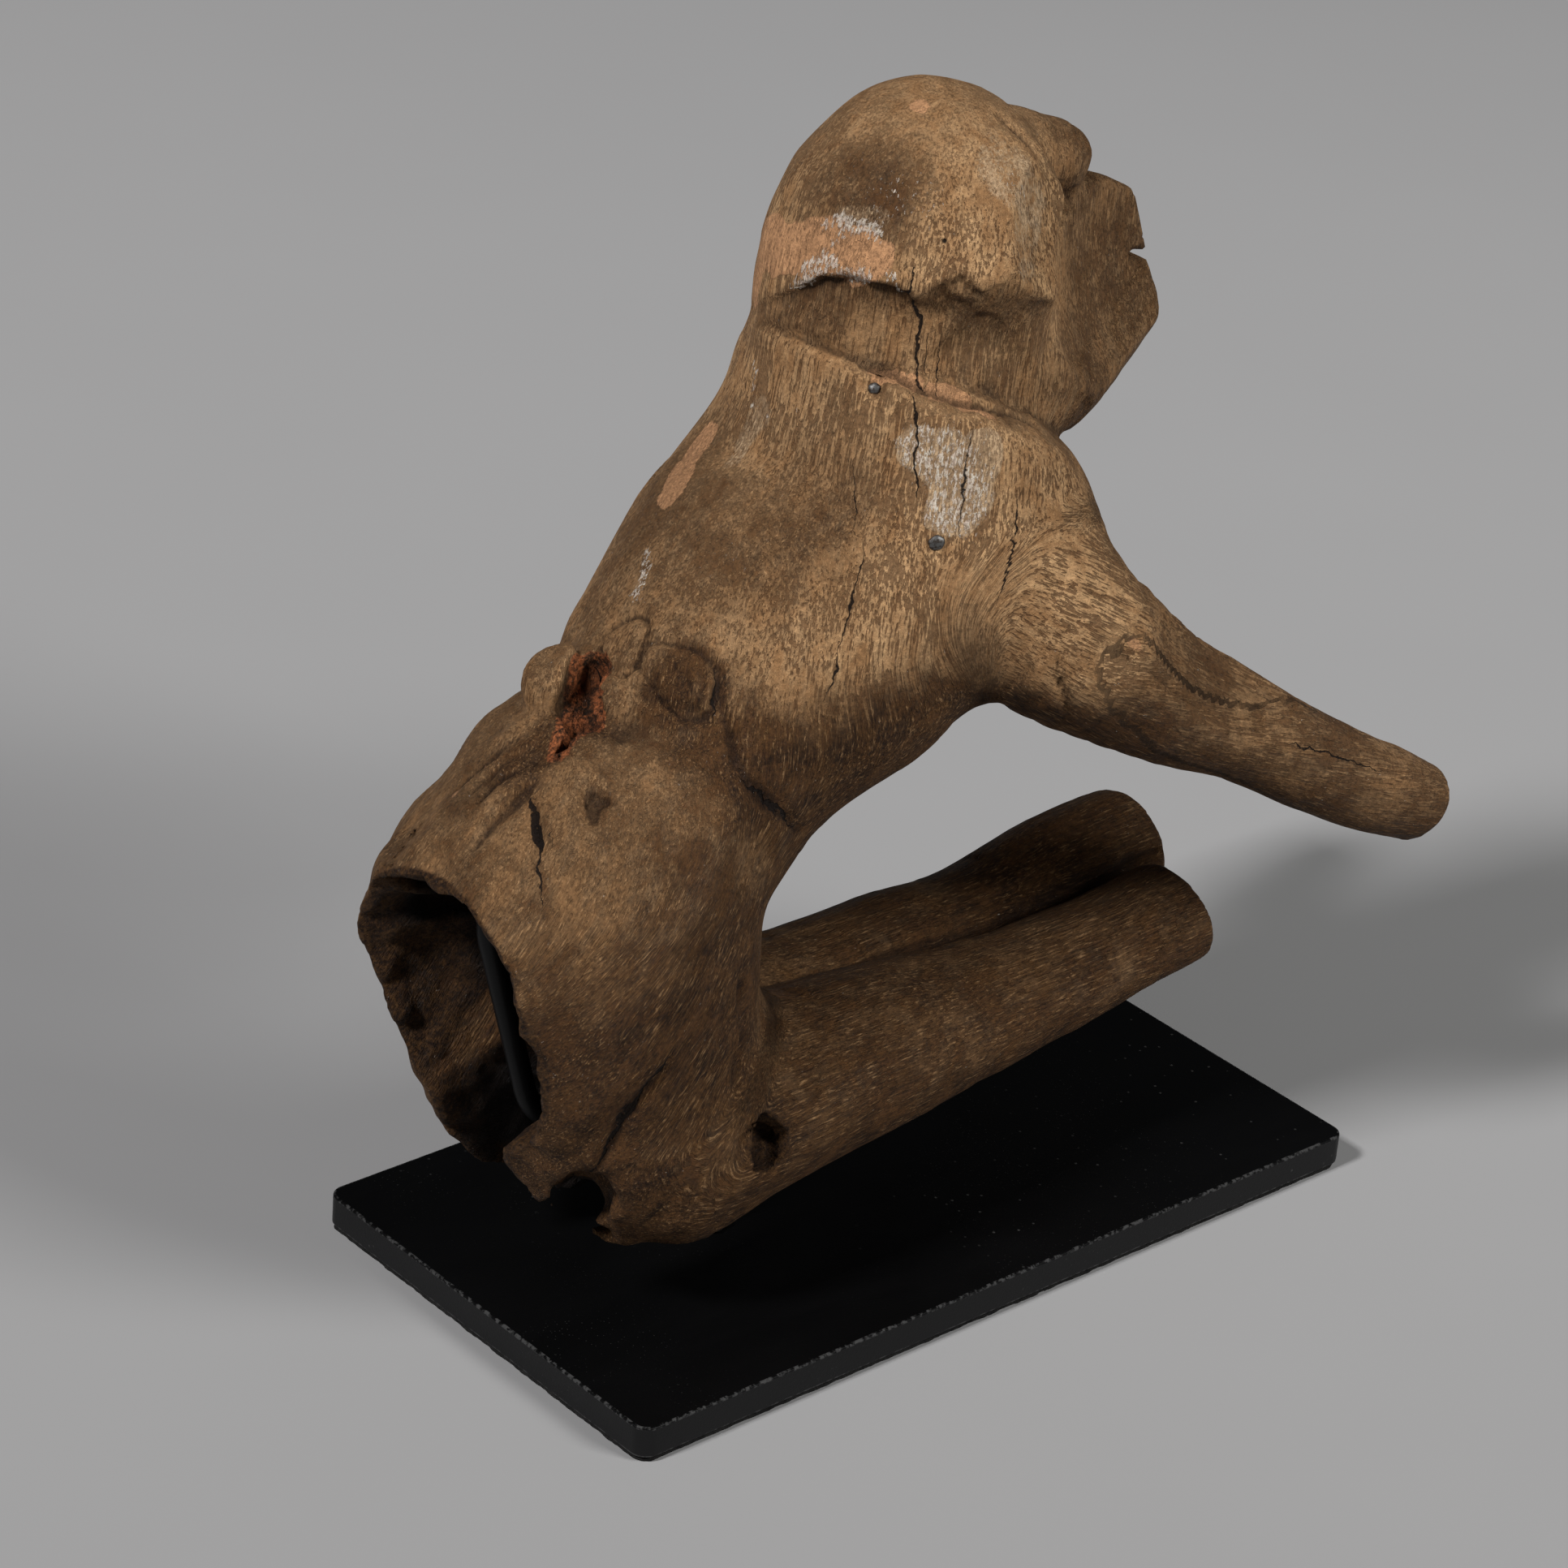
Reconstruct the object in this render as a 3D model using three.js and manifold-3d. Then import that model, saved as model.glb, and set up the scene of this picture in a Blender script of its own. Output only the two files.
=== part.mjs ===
// Thil figure: a small carved wood spirit figure of the Lobi kind, worn and rotten at the hips, held above
// a black steel plate by a bent steel rod.
// Millimetres, +Z up. The origin is the middle of the felt's underside, +X is the way that the figure
// faces, along the plate, and +Y is its left side.
import * as THREE from 'three';
import { mergeVertices } from 'three/addons/utils/BufferGeometryUtils.js';
import Module from 'manifold-3d';

const wasm = await Module();
wasm.setup();

// Driving dimensions of the mount
const PLATE_LENGTH = 140;
const PLATE_WIDTH = 74;
const PLATE_THICKNESS = 5;
const PLATE_CORNER = 2.5;
const PLATE_BEVEL = 0.35;
const FELT_THICKNESS = 0.6;
const FELT_MARGIN = 0.4;
const TOUCH_GAP = 0.3;
const ROD_DIAMETER = 3.2;
const ROD_BEND = 8;
const ROD_STEPS = 40;
const WELD_RADIUS = 2.9;
const WELD_HEIGHT = 1.4;
const NAIL_LENGTH = 6;
const NAIL_SHANK = 0.45;
const PLATE_TOP = FELT_THICKNESS + TOUCH_GAP + PLATE_THICKNESS;

// Corners of the rod's path: the foot on the plate, the turn back under the hips, the turn up inside the
// hollow, the elbow, and the end in the solid wood of the waist.
const ROD_CORNERS = [
  [-28.5, -1.4, PLATE_TOP + TOUCH_GAP],
  [-28.5, -1.4, 32],
  [-62, 0, 33],
  [-73.4, 0.8, 73],
  [-50, 0, 78],
];

// Nail heads driven into the back: place on the wood, direction out of it, radius of the head.
const NAILS = [
  { name: 'nail_upper', at: [-21.5, -12.8, 141.6], out: [-0.68, -0.57, 0.46], radius: 0.8 },
  { name: 'nail_lower', at: [-17.6, -23.5, 122.2], out: [-0.47, -0.85, 0.23], radius: 1.1 },
];

// Driving dimensions of the figure. A station gives the middle of one cross-section (x forward, y to the
// figure's left, z up) and the half sizes of that section, to the sides and in the middle plane.
const JAW_STATIONS = [
  { at: [4, 0, 137], side: 17, depth: 15 },
  { at: [14, 0, 138.5], side: 15.5, depth: 17.5 },
  { at: [23, 0, 141.7], side: 12.4, depth: 17.5 },
  { at: [29.5, 0, 142.5], side: 10, depth: 15.4 },
  { at: [34.5, 0, 142.6], side: 8, depth: 11.4 },
  { at: [38, 0, 143], side: 6, depth: 6.6 },
  { at: [39.2, 0, 143.2], side: 4.5, depth: 4.5 },
];
const NOSE_STATIONS = [
  { at: [0, 0, 166], side: 7, depth: 6.5 },
  { at: [8, 0, 165.5], side: 7, depth: 6.5 },
  { at: [14, 0, 164.3], side: 6.3, depth: 5.6 },
  { at: [20, 0, 162.8], side: 5.6, depth: 5 },
  { at: [24, 0, 161.4], side: 4.4, depth: 4 },
];
const RIGHT_ARM_STATIONS = [
  { at: [-16, -8, 112], side: 15, depth: 15 },
  { at: [-1, -17.5, 110.6], side: 14, depth: 15 },
  { at: [8, -25, 102.2], side: 11.5, depth: 12.3 },
  { at: [20, -29, 93.5], side: 8.8, depth: 9.8 },
  { at: [36, -31.5, 84], side: 7.6, depth: 8.2 },
  { at: [54, -33.5, 73.5], side: 6.8, depth: 7.3 },
  { at: [68, -35, 65.5], side: 6.4, depth: 6.7 },
  { at: [75, -35.5, 61.8], side: 6, depth: 6.1 },
  { at: [76.5, -35.6, 61], side: 4, depth: 4.4 },
];
const RIGHT_LEG_STATIONS = [
  { at: [-56, -9, 35], side: 12, depth: 14 },
  { at: [-46, -10, 32], side: 13.5, depth: 15.5 },
  { at: [-30, -10, 33.3], side: 14.5, depth: 13.8 },
  { at: [-10, -10, 33.2], side: 12.8, depth: 12.2 },
  { at: [14, -9.4, 33.2], side: 10.8, depth: 9.7 },
  { at: [26, -9.3, 33.8], side: 10, depth: 8.8 },
  { at: [38, -9.2, 34.7], side: 9.6, depth: 8.1 },
  { at: [49, -9.2, 35.8], side: 9.2, depth: 7.3 },
  { at: [54.5, -9.2, 36.4], side: 8.4, depth: 6.6 },
];
const LEFT_LEG_STATIONS = [
  { at: [-56, 9, 35], side: 12, depth: 14 },
  { at: [-46, 10, 32], side: 13.5, depth: 15.5 },
  { at: [-30, 10, 32], side: 14.5, depth: 14 },
  { at: [-10, 10, 30], side: 13, depth: 11.5 },
  { at: [14, 10.5, 31.2], side: 11.5, depth: 10.6 },
  { at: [27, 10.4, 30.7], side: 11, depth: 10.2 },
  { at: [38, 10.3, 32.6], side: 10.5, depth: 10.2 },
  { at: [47, 10.3, 35.1], side: 10.3, depth: 10 },
  { at: [56, 10.3, 36], side: 10.2, depth: 10.2 },
  { at: [63, 10.3, 36.4], side: 9.2, depth: 9.2 },
];

// A section gives the height and place of its middle, its lean in degrees, by which the back edge stands
// higher than the front one (none: level), and its reach to the back, the front, the left and the right.
const TRUNK_SECTIONS = [
  { z: 56, x: -62, lean: 36, back: 16, front: 16, left: 18, right: 18 },
  { z: 67, x: -54, lean: 40, back: 19, front: 19, left: 20, right: 20 },
  { z: 77.5, x: -44, lean: 41, back: 19.5, front: 19, left: 21, right: 20 },
  { z: 88.5, x: -35.5, lean: 46, back: 22.3, front: 19.5, left: 25, right: 21 },
  { z: 100, x: -20, lean: 46, back: 27.8, front: 24.7, left: 29.5, right: 25 },
  { z: 112.5, x: -9, lean: 37, back: 25.8, front: 27, left: 28, right: 27 },
  { z: 121.5, x: -4.5, lean: 30, back: 26.3, front: 29, left: 26, right: 27 },
  { z: 128, x: -2.5, lean: 27, back: 26.5, front: 27.8, left: 25.5, right: 26.5 },
  { z: 133.2, x: -2, lean: 27, back: 26, front: 23, left: 23, right: 25 },
  { z: 136.5, x: -1.5, lean: 27, back: 21.5, front: 16, left: 18, right: 20.5 },
];
const HEAD_SECTIONS = [
  { z: 124, x: 0, back: 14, front: 14, left: 14, right: 14 },
  { z: 131, x: -1, back: 20, front: 17, left: 19, right: 17.5 },
  { z: 137, x: -1, back: 23.2, front: 17.5, left: 22.5, right: 18.3 },
  { z: 142, x: -1, back: 24.4, front: 17, left: 24.3, right: 18.6 },
  { z: 147, x: -0.5, back: 25, front: 16, left: 24.3, right: 18.8 },
  { z: 150.8, x: 0, back: 25.2, front: 15, left: 24.2, right: 19.5 },
  { z: 153.6, x: 0, back: 25, front: 14.8, left: 24, right: 22.2 },
  { z: 156.5, x: 0, back: 24.6, front: 14.8, left: 23.2, right: 22.6 },
  { z: 160.5, x: 0, back: 23.4, front: 14.5, left: 21.6, right: 21.3 },
  { z: 165, x: -0.5, back: 21.3, front: 13.5, left: 18.9, right: 18.8 },
  { z: 169.5, x: -1, back: 17.6, front: 12, left: 15.2, right: 15.3 },
  { z: 173.3, x: -2, back: 12.2, front: 10.5, left: 11, right: 11 },
  { z: 176, x: -2.5, back: 6.5, front: 6, left: 6.5, right: 6 },
  { z: 177.6, x: -2.5, back: 1, front: 1, left: 1, right: 1 },
];
const HIP_SECTIONS = [
  { z: 16, x: -44, back: 6, front: 10, left: 12, right: 12 },
  { z: 20, x: -45, back: 12, front: 15, left: 17, right: 17 },
  { z: 31, x: -49.5, back: 20.8, front: 22, left: 21.7, right: 21.5 },
  { z: 43, x: -54, back: 24.8, front: 26, left: 23.6, right: 23.2 },
  { z: 52, x: -56.5, back: 28.5, front: 28.5, left: 24.7, right: 24 },
  { z: 62, x: -58, back: 31, front: 29, left: 25.7, right: 24.5 },
  { z: 72, x: -56.5, back: 29.3, front: 25.5, left: 25.2, right: 24.2 },
  { z: 76, x: -55.5, back: 28.2, front: 22.5, left: 24.8, right: 24 },
  { z: 81, x: -53.5, back: 24.6, front: 19, left: 23, right: 23 },
  { z: 88, x: -49.5, back: 20.5, front: 12, left: 21.5, right: 21.5 },
  { z: 95, x: -45, back: 15, front: 8, left: 17, right: 17 },
];
const HOLLOW_STATIONS = [
  { at: [-98, 0.5, 56], side: 18, depth: 27 },
  { at: [-84, 0.5, 56.5], side: 18, depth: 26 },
  { at: [-76, 0.5, 57.5], side: 17.2, depth: 23 },
  { at: [-66, 0.5, 60], side: 13, depth: 15 },
  { at: [-58, 0, 63], side: 6, depth: 8 },
];
// The rotten channel under the hips, open below, that the rod comes up through.
const CHANNEL_STATIONS = [
  { at: [-86, 1, 30], side: 8.5, depth: 24 },
  { at: [-70, 1, 28], side: 9, depth: 22 },
  { at: [-50, 0, 20], side: 9, depth: 20 },
  { at: [-32, -0.5, 18], side: 7, depth: 19 },
  { at: [-24, -0.5, 17], side: 4.5, depth: 14 },
];

// Lumps on the wood above the hips: the knob and two knots.
const KNOBS = [
  { at: [-56.7, 7.6, 98.8], reach: [3.3, 3.5, 6.2], lean: 20 },
  { at: [-46.1, 1.6, 101.2], reach: [3.8, 4, 4.8], lean: 35 },
  { at: [-44.2, -5.3, 101.4], reach: [3.4, 6.4, 3.6], lean: 40 },
];
// Rotted pits: in the waist below the knob, running down the back, and the knot hole at the right knee.
const ROT_PITS = [
  { at: [-54.3, 1.2, 98.2], reach: [4, 3.6, 5.2], lean: 35 },
  { at: [-61.5, 0, 93.5], reach: [3, 2.6, 5], lean: 35 },
  { at: [-40.5, -25, 35], reach: [2.4, 2.2, 2.4], lean: 0 },
];
// The gap broken out between the hind corner of the hips and the right knee.
const GAP_STATIONS = [
  { at: [-75.3, -26, 39.8], side: 4.2, depth: 4.4 },
  { at: [-66.7, -16, 31.4], side: 4.2, depth: 4.4 },
  { at: [-58.2, -6, 23], side: 4, depth: 4 },
  { at: [-51.4, 2, 16.3], side: 3, depth: 3 },
];
const MOUTH = { at: [44.3, 0, 144.6], size: [16, 24, 1.8], lean: 8 };

const LEFT = new THREE.Vector3(0, 1, 0);

// Smooth value of one station field along the run, from 0 at the first station to 1 at the last.
function smoothField(stations, field) {
  const points = stations.map((station) => new THREE.Vector3(station[field] ?? 0, 0, 0));
  const curve = new THREE.CatmullRomCurve3(points, false, 'catmullrom', 0.5);
  return (t) => curve.getPoint(t).x;
}

// A closed mesh from rings of equal length: each ring joins the next, and each end is a fan to its middle.
function solidFromRings(rings) {
  const sides = rings[0].length;
  const positions = [];
  const indices = [];
  rings.forEach((ring) => ring.forEach((p) => positions.push(p.x, p.y, p.z)));
  for (let i = 0; i + 1 < rings.length; i += 1) {
    for (let j = 0; j < sides; j += 1) {
      const a = i * sides + j;
      const b = i * sides + ((j + 1) % sides);
      indices.push(a, b, b + sides, a, b + sides, a + sides);
    }
  }
  [0, rings.length - 1].forEach((last, end) => {
    const middle = new THREE.Vector3();
    rings[last].forEach((p) => middle.addScaledVector(p, 1 / sides));
    const centre = positions.length / 3;
    positions.push(middle.x, middle.y, middle.z);
    for (let j = 0; j < sides; j += 1) {
      const a = last * sides + j;
      const b = last * sides + ((j + 1) % sides);
      indices.push(...(end === 0 ? [centre, b, a] : [centre, a, b]));
    }
  });
  const geometry = new THREE.BufferGeometry();
  geometry.setAttribute('position', new THREE.Float32BufferAttribute(positions, 3));
  geometry.setIndex(indices);
  return geometry;
}

// Sections swept along a smooth spine through the stations.
function sweep(stations, ringCount, sides, relief = () => 0) {
  const spine = new THREE.CatmullRomCurve3(
    stations.map((station) => new THREE.Vector3(...station.at)),
    false,
    'catmullrom',
    0.5,
  );
  const halfSide = smoothField(stations, 'side');
  const halfDepth = smoothField(stations, 'depth');
  const rings = [];
  for (let i = 0; i < ringCount; i += 1) {
    const t = i / (ringCount - 1);
    const middle = spine.getPoint(t);
    const along = spine.getTangent(t);
    const across = LEFT.clone().addScaledVector(along, -LEFT.dot(along)).normalize();
    const out = new THREE.Vector3().crossVectors(along, across);
    const ring = [];
    for (let j = 0; j < sides; j += 1) {
      const angle = (2 * Math.PI * j) / sides;
      const lift = relief(t, angle);
      ring.push(
        middle
          .clone()
          .addScaledVector(across, Math.cos(angle) * (halfSide(t) + lift))
          .addScaledVector(out, Math.sin(angle) * (halfDepth(t) + lift)),
      );
    }
    rings.push(ring);
  }
  return solidFromRings(rings);
}

// The broken edge of the hollow: long and short waves round the opening, strongest at its mouth.
function raggedRim(t, angle) {
  const wave = 1.1 * Math.sin(3 * angle + 0.6) + 0.7 * Math.sin(5 * angle + 2.1) + 0.5 * Math.sin(8 * angle);
  return wave * (1 - t);
}

// Sections stacked one above the other, each with its own lean and its own reach to every side.
function stacked(sections, ringCount, sides) {
  const names = ['x', 'z', 'lean', 'back', 'front', 'left', 'right'];
  const fields = names.map((name) => smoothField(sections, name));
  const rings = [];
  for (let i = 0; i < ringCount; i += 1) {
    const t = i / (ringCount - 1);
    const [x, z, lean, back, front, left, right] = fields.map((field) => field(t));
    const tilt = THREE.MathUtils.degToRad(lean);
    const ring = [];
    for (let j = 0; j < sides; j += 1) {
      const angle = (2 * Math.PI * j) / sides;
      const ahead = Math.cos(angle) * (Math.cos(angle) > 0 ? front : back);
      const aside = Math.sin(angle) * (Math.sin(angle) > 0 ? left : right);
      ring.push(new THREE.Vector3(x + ahead * Math.cos(tilt), aside, z - ahead * Math.sin(tilt)));
    }
    rings.push(ring);
  }
  return solidFromRings(rings);
}

function mirrored(stations) {
  return stations.map((station) => ({ ...station, at: [station.at[0], -station.at[1], station.at[2]] }));
}

// Geometry to a solid for joining and cutting, and back.
function toSolid(geometry) {
  const bare = geometry.clone();
  bare.deleteAttribute('normal');
  bare.deleteAttribute('uv');
  const merged = mergeVertices(bare, 1e-4);
  const mesh = new wasm.Mesh({
    numProp: 3,
    vertProperties: new Float32Array(merged.attributes.position.array),
    triVerts: new Uint32Array(merged.index.array),
  });
  return new wasm.Manifold(mesh);
}

function toGeometry(solid) {
  const mesh = solid.getMesh();
  const geometry = new THREE.BufferGeometry();
  geometry.setAttribute('position', new THREE.Float32BufferAttribute(mesh.vertProperties, 3));
  geometry.setIndex([...mesh.triVerts]);
  geometry.computeVertexNormals();
  return geometry;
}

// The rod's path: straight runs joined by round bends.
function bentPath(corners, bend) {
  const points = corners.map((corner) => new THREE.Vector3(...corner));
  const path = new THREE.CurvePath();
  let start = points[0];
  for (let i = 1; i + 1 < points.length; i += 1) {
    const before = points[i].clone().addScaledVector(points[i - 1].clone().sub(points[i]).normalize(), bend);
    const after = points[i].clone().addScaledVector(points[i + 1].clone().sub(points[i]).normalize(), bend);
    path.add(new THREE.LineCurve3(start, before));
    path.add(new THREE.QuadraticBezierCurve3(before, points[i], after));
    start = after;
  }
  path.add(new THREE.LineCurve3(start, points[points.length - 1]));
  return path;
}

function tube(path, radius) {
  const circle = new THREE.Shape();
  circle.absarc(0, 0, radius, 0, 2 * Math.PI, false);
  return new THREE.ExtrudeGeometry(circle, { extrudePath: path, steps: ROD_STEPS, curveSegments: 6 });
}

// A round-ended lump: the middle, its reach along the three axes, and its turn about +Y in degrees.
function lump({ at, reach, lean }) {
  return new THREE.SphereGeometry(1, 14, 9)
    .scale(...reach)
    .rotateY(THREE.MathUtils.degToRad(lean))
    .translate(...at);
}

// The profile (radius, height) turned round the direction out of the wood at a nail.
function turnedAtNail({ at, out }, profile) {
  const direction = new THREE.Vector3(...out).normalize();
  const turn = new THREE.Quaternion().setFromUnitVectors(new THREE.Vector3(0, 1, 0), direction);
  return new THREE.LatheGeometry(profile.map(([r, h]) => new THREE.Vector2(r, h)), 12)
    .applyQuaternion(turn)
    .translate(...at);
}

function nail({ at, out, radius }) {
  return turnedAtNail({ at, out }, [
    [0, -NAIL_LENGTH],
    [NAIL_SHANK, 0.8 - NAIL_LENGTH],
    [NAIL_SHANK, 0],
    [radius, 0.05],
    [radius * 0.75, 0.4],
    [0, 0.5],
  ]);
}

// The hole round a nail, wider than it by the gap everywhere.
function nailHole({ at, out, radius }) {
  return turnedAtNail({ at, out }, [
    [0, -NAIL_LENGTH - TOUCH_GAP],
    [NAIL_SHANK + TOUCH_GAP, 0.4 - NAIL_LENGTH],
    [NAIL_SHANK + TOUCH_GAP, -TOUCH_GAP],
    [radius + TOUCH_GAP, -TOUCH_GAP],
    [radius + TOUCH_GAP, 3],
    [0, 3],
  ]);
}

// A flat sheet with round corners, its lower face at the given height; the edges may be broken.
function sheet(length, width, thickness, corner, bevel, bottom) {
  const x = length / 2 - bevel;
  const y = width / 2 - bevel;
  const r = corner - bevel;
  const outline = new THREE.Shape();
  outline.absarc(x - r, y - r, r, 0, Math.PI / 2, false);
  outline.absarc(r - x, y - r, r, Math.PI / 2, Math.PI, false);
  outline.absarc(r - x, r - y, r, Math.PI, 1.5 * Math.PI, false);
  outline.absarc(x - r, r - y, r, 1.5 * Math.PI, 2 * Math.PI, false);
  return new THREE.ExtrudeGeometry(outline, {
    depth: thickness - 2 * bevel,
    bevelEnabled: bevel > 0,
    bevelThickness: bevel,
    bevelSize: bevel,
    bevelSegments: 1,
    curveSegments: 4,
  }).translate(0, 0, bottom + bevel);
}

// The weld bead round the rod's foot.
function weldBead() {
  const [x, y, z] = ROD_CORNERS[0];
  const profile = [
    [0, 0],
    [WELD_RADIUS, 0],
    [WELD_RADIUS * 0.85, WELD_HEIGHT * 0.45],
    [ROD_DIAMETER / 2, WELD_HEIGHT],
    [0, WELD_HEIGHT],
  ];
  return new THREE.LatheGeometry(profile.map(([r, h]) => new THREE.Vector2(r, h)), 16)
    .rotateX(Math.PI / 2)
    .translate(x, y, z);
}

function joined(geometries) {
  return geometries.map(toSolid).reduce((whole, part) => whole.add(part));
}

const rodPath = bentPath(ROD_CORNERS, ROD_BEND);

const figureParts = [
  stacked(TRUNK_SECTIONS, 18, 30),
  stacked(HEAD_SECTIONS, 20, 30),
  stacked(HIP_SECTIONS, 16, 30),
  sweep(JAW_STATIONS, 12, 20),
  sweep(NOSE_STATIONS, 7, 12),
  sweep(RIGHT_ARM_STATIONS, 16, 16),
  sweep(mirrored(RIGHT_ARM_STATIONS), 16, 16),
  sweep(RIGHT_LEG_STATIONS, 14, 20),
  sweep(LEFT_LEG_STATIONS, 14, 20),
  ...KNOBS.map(lump),
];
const figureCuts = [
  sweep(HOLLOW_STATIONS, 10, 24, raggedRim),
  sweep(CHANNEL_STATIONS, 10, 16),
  sweep(GAP_STATIONS, 5, 12),
  tube(rodPath, ROD_DIAMETER / 2 + TOUCH_GAP),
  new THREE.BoxGeometry(...MOUTH.size).rotateY(THREE.MathUtils.degToRad(MOUTH.lean)).translate(...MOUTH.at),
  ...ROT_PITS.map(lump),
  ...NAILS.map(nailHole),
];
const figure = figureCuts.reduce((wood, cut) => wood.subtract(toSolid(cut)), joined(figureParts));

const MATERIALS = {
  wood: { color: 0x7a5a3b, roughness: 0.8, metalness: 0 },
  rod: { color: 0x111111, roughness: 0.35, metalness: 0.7 },
  plate: { color: 0x080808, roughness: 0.3, metalness: 0.4 },
  felt: { color: 0x0d0d0d, roughness: 1, metalness: 0 },
  nail: { color: 0x2c2b2a, roughness: 0.45, metalness: 0.9 },
};

const group = new THREE.Group();

function addNode(name, geometry, material) {
  const mesh = new THREE.Mesh(geometry, new THREE.MeshStandardMaterial(MATERIALS[material]));
  mesh.name = name;
  group.add(mesh);
}

const plateBottom = FELT_THICKNESS + TOUCH_GAP;
const feltLength = PLATE_LENGTH - 2 * FELT_MARGIN;
const feltWidth = PLATE_WIDTH - 2 * FELT_MARGIN;
addNode('carved_figure', toGeometry(figure), 'wood');
addNode('support_rod', toGeometry(joined([tube(rodPath, ROD_DIAMETER / 2), weldBead()])), 'rod');
addNode(
  'base_plate',
  sheet(PLATE_LENGTH, PLATE_WIDTH, PLATE_THICKNESS, PLATE_CORNER, PLATE_BEVEL, plateBottom),
  'plate',
);
addNode('felt_pad', sheet(feltLength, feltWidth, FELT_THICKNESS, PLATE_CORNER, 0, 0), 'felt');
NAILS.forEach((item) => addNode(item.name, nail(item), 'nail'));

export default group;
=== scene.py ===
"""Thil figure: a worn wood spirit figure held by a bent rod above a black plate, dressed over its solids."""
import functools
import itertools
import logging
import math
from dataclasses import dataclass, field
from enum import Enum
from typing import Callable, Sequence

import bpy
import numpy as np
from mathutils import Matrix, Vector


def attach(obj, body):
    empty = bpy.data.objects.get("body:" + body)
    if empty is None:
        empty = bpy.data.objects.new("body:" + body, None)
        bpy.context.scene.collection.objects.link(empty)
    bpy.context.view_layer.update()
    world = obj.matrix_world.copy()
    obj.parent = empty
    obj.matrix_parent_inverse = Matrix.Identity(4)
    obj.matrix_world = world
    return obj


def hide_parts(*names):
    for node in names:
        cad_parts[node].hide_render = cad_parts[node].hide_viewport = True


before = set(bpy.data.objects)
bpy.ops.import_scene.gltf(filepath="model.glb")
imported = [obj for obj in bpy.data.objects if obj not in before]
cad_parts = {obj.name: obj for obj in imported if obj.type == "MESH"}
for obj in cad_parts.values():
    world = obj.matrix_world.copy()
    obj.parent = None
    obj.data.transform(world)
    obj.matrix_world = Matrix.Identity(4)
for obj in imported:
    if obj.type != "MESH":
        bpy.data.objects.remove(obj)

LOG = logging.getLogger("thil_figure")
MM = 0.001
BODY = "root"
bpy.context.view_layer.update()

Points = np.ndarray
Values = np.ndarray
Spot = tuple[float, float, float]
Colour = tuple[float, float, float]
# Middle, half size to the side and half size in depth.
Station = tuple[Spot, float, float]
# Place and radius.
Hole = tuple[Spot, float]
# Path, half width and strength.
Patch = tuple[tuple[Spot, ...], float, float]
# Height, middle and lean, then the reach behind, ahead, to the left and to the right.
Section = tuple[float, float, float, float, float, float, float]

# What a field says where no form is near, in millimetres.
FAR = 60.0
UP = np.array([0.0, 0.0, 1.0])
LEFT = np.array([0.0, 1.0, 0.0])


# Noise and curves


class Lattice:
    """Smooth noise between minus one and one, from a repeating lattice of random numbers."""

    def __init__(self, seed: int, size: int = 32) -> None:
        """Fills the lattice.

        Args:
            seed: number that fixes the lattice, so that every run is the same.
            size: lattice points along each side before it repeats.
        """
        self.size = size
        self.knots = np.random.default_rng(seed).uniform(-1.0, 1.0, (size, size, size))

    def at(self, points: Points, period: float | Sequence[float]) -> Values:
        """Noise at the points: the eight lattice numbers round each, mixed by a smooth step along each axis.

        Args:
            points: places, in millimetres.
            period: spacing of the lattice, one number or one for each axis.

        Returns:
            One number for each point.
        """
        scaled = points / np.asarray(period, dtype=float)
        cell = np.floor(scaled).astype(int)
        part = scaled - cell
        part = part * part * (3.0 - 2.0 * part)
        total = np.zeros(len(points))
        for corner in itertools.product((0, 1), repeat=3):
            x, y, z = ((cell + corner) % self.size).T
            share = np.where(np.array(corner) == 1, part, 1.0 - part).prod(axis=1)
            total += share * self.knots[x, y, z]
        return total

    def layered(self, points: Points, period: float, layers: int) -> Values:
        """Noise with finer layers added, each at half the period and half the strength of the one before.

        Args:
            points: places, in millimetres.
            period: spacing of the coarsest layer.
            layers: how many layers.

        Returns:
            One number for each point.
        """
        apart = 17.3
        return sum(0.5**layer * self.at(points + apart * layer, period / 2**layer) for layer in range(layers))

    def shift(self, points: Points, period: float, apart: float) -> Points:
        """Noise for all three directions, each read that far apart from the one before."""
        return np.stack([self.at(points + apart * axis, period) for axis in range(3)], axis=1)


def catmull(knots: Points, count: int) -> Points:
    """A smooth curve through the knots: a cubic in each span, whose slope at a knot is half the step between
    its neighbours.

    Args:
        knots: one row for each knot.
        count: how many points to give, evenly spread over the knots.

    Returns:
        The points of the curve, one row each.
    """
    rows = np.asarray(knots, dtype=float)
    padded = np.vstack([2.0 * rows[0] - rows[1], rows, 2.0 * rows[-1] - rows[-2]])
    place = np.linspace(0.0, len(rows) - 1.0, count)
    span = np.minimum(place.astype(int), len(rows) - 2)
    t = (place - span)[:, None]
    before, start, end, after = (padded[span + shift] for shift in range(4))
    slope_in = 0.5 * (end - before)
    slope_out = 0.5 * (after - start)
    cubic = 2.0 * (start - end) + slope_in + slope_out
    square = 3.0 * (end - start) - 2.0 * slope_in - slope_out
    return ((cubic * t + square) * t + slope_in) * t + start


def unit(vectors: Points) -> Points:
    """The vectors at length one."""
    return vectors / np.maximum(np.linalg.norm(vectors, axis=-1, keepdims=True), 1e-9)


def smooth_step(low: float, high: float, values: Values) -> Values:
    """Zero below low, one above high, and a smooth rise between them; high may be the smaller."""
    t = np.clip((values - low) / (high - low), 0.0, 1.0)
    return t * t * (3.0 - 2.0 * t)


def melt(a: Values, b: Values, width: float) -> Values:
    """The smaller of two fields, with the corner between them rounded over the width."""
    share = np.clip(0.5 + 0.5 * (b - a) / width, 0.0, 1.0)
    return b + (a - b) * share - width * share * (1.0 - share)


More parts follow.
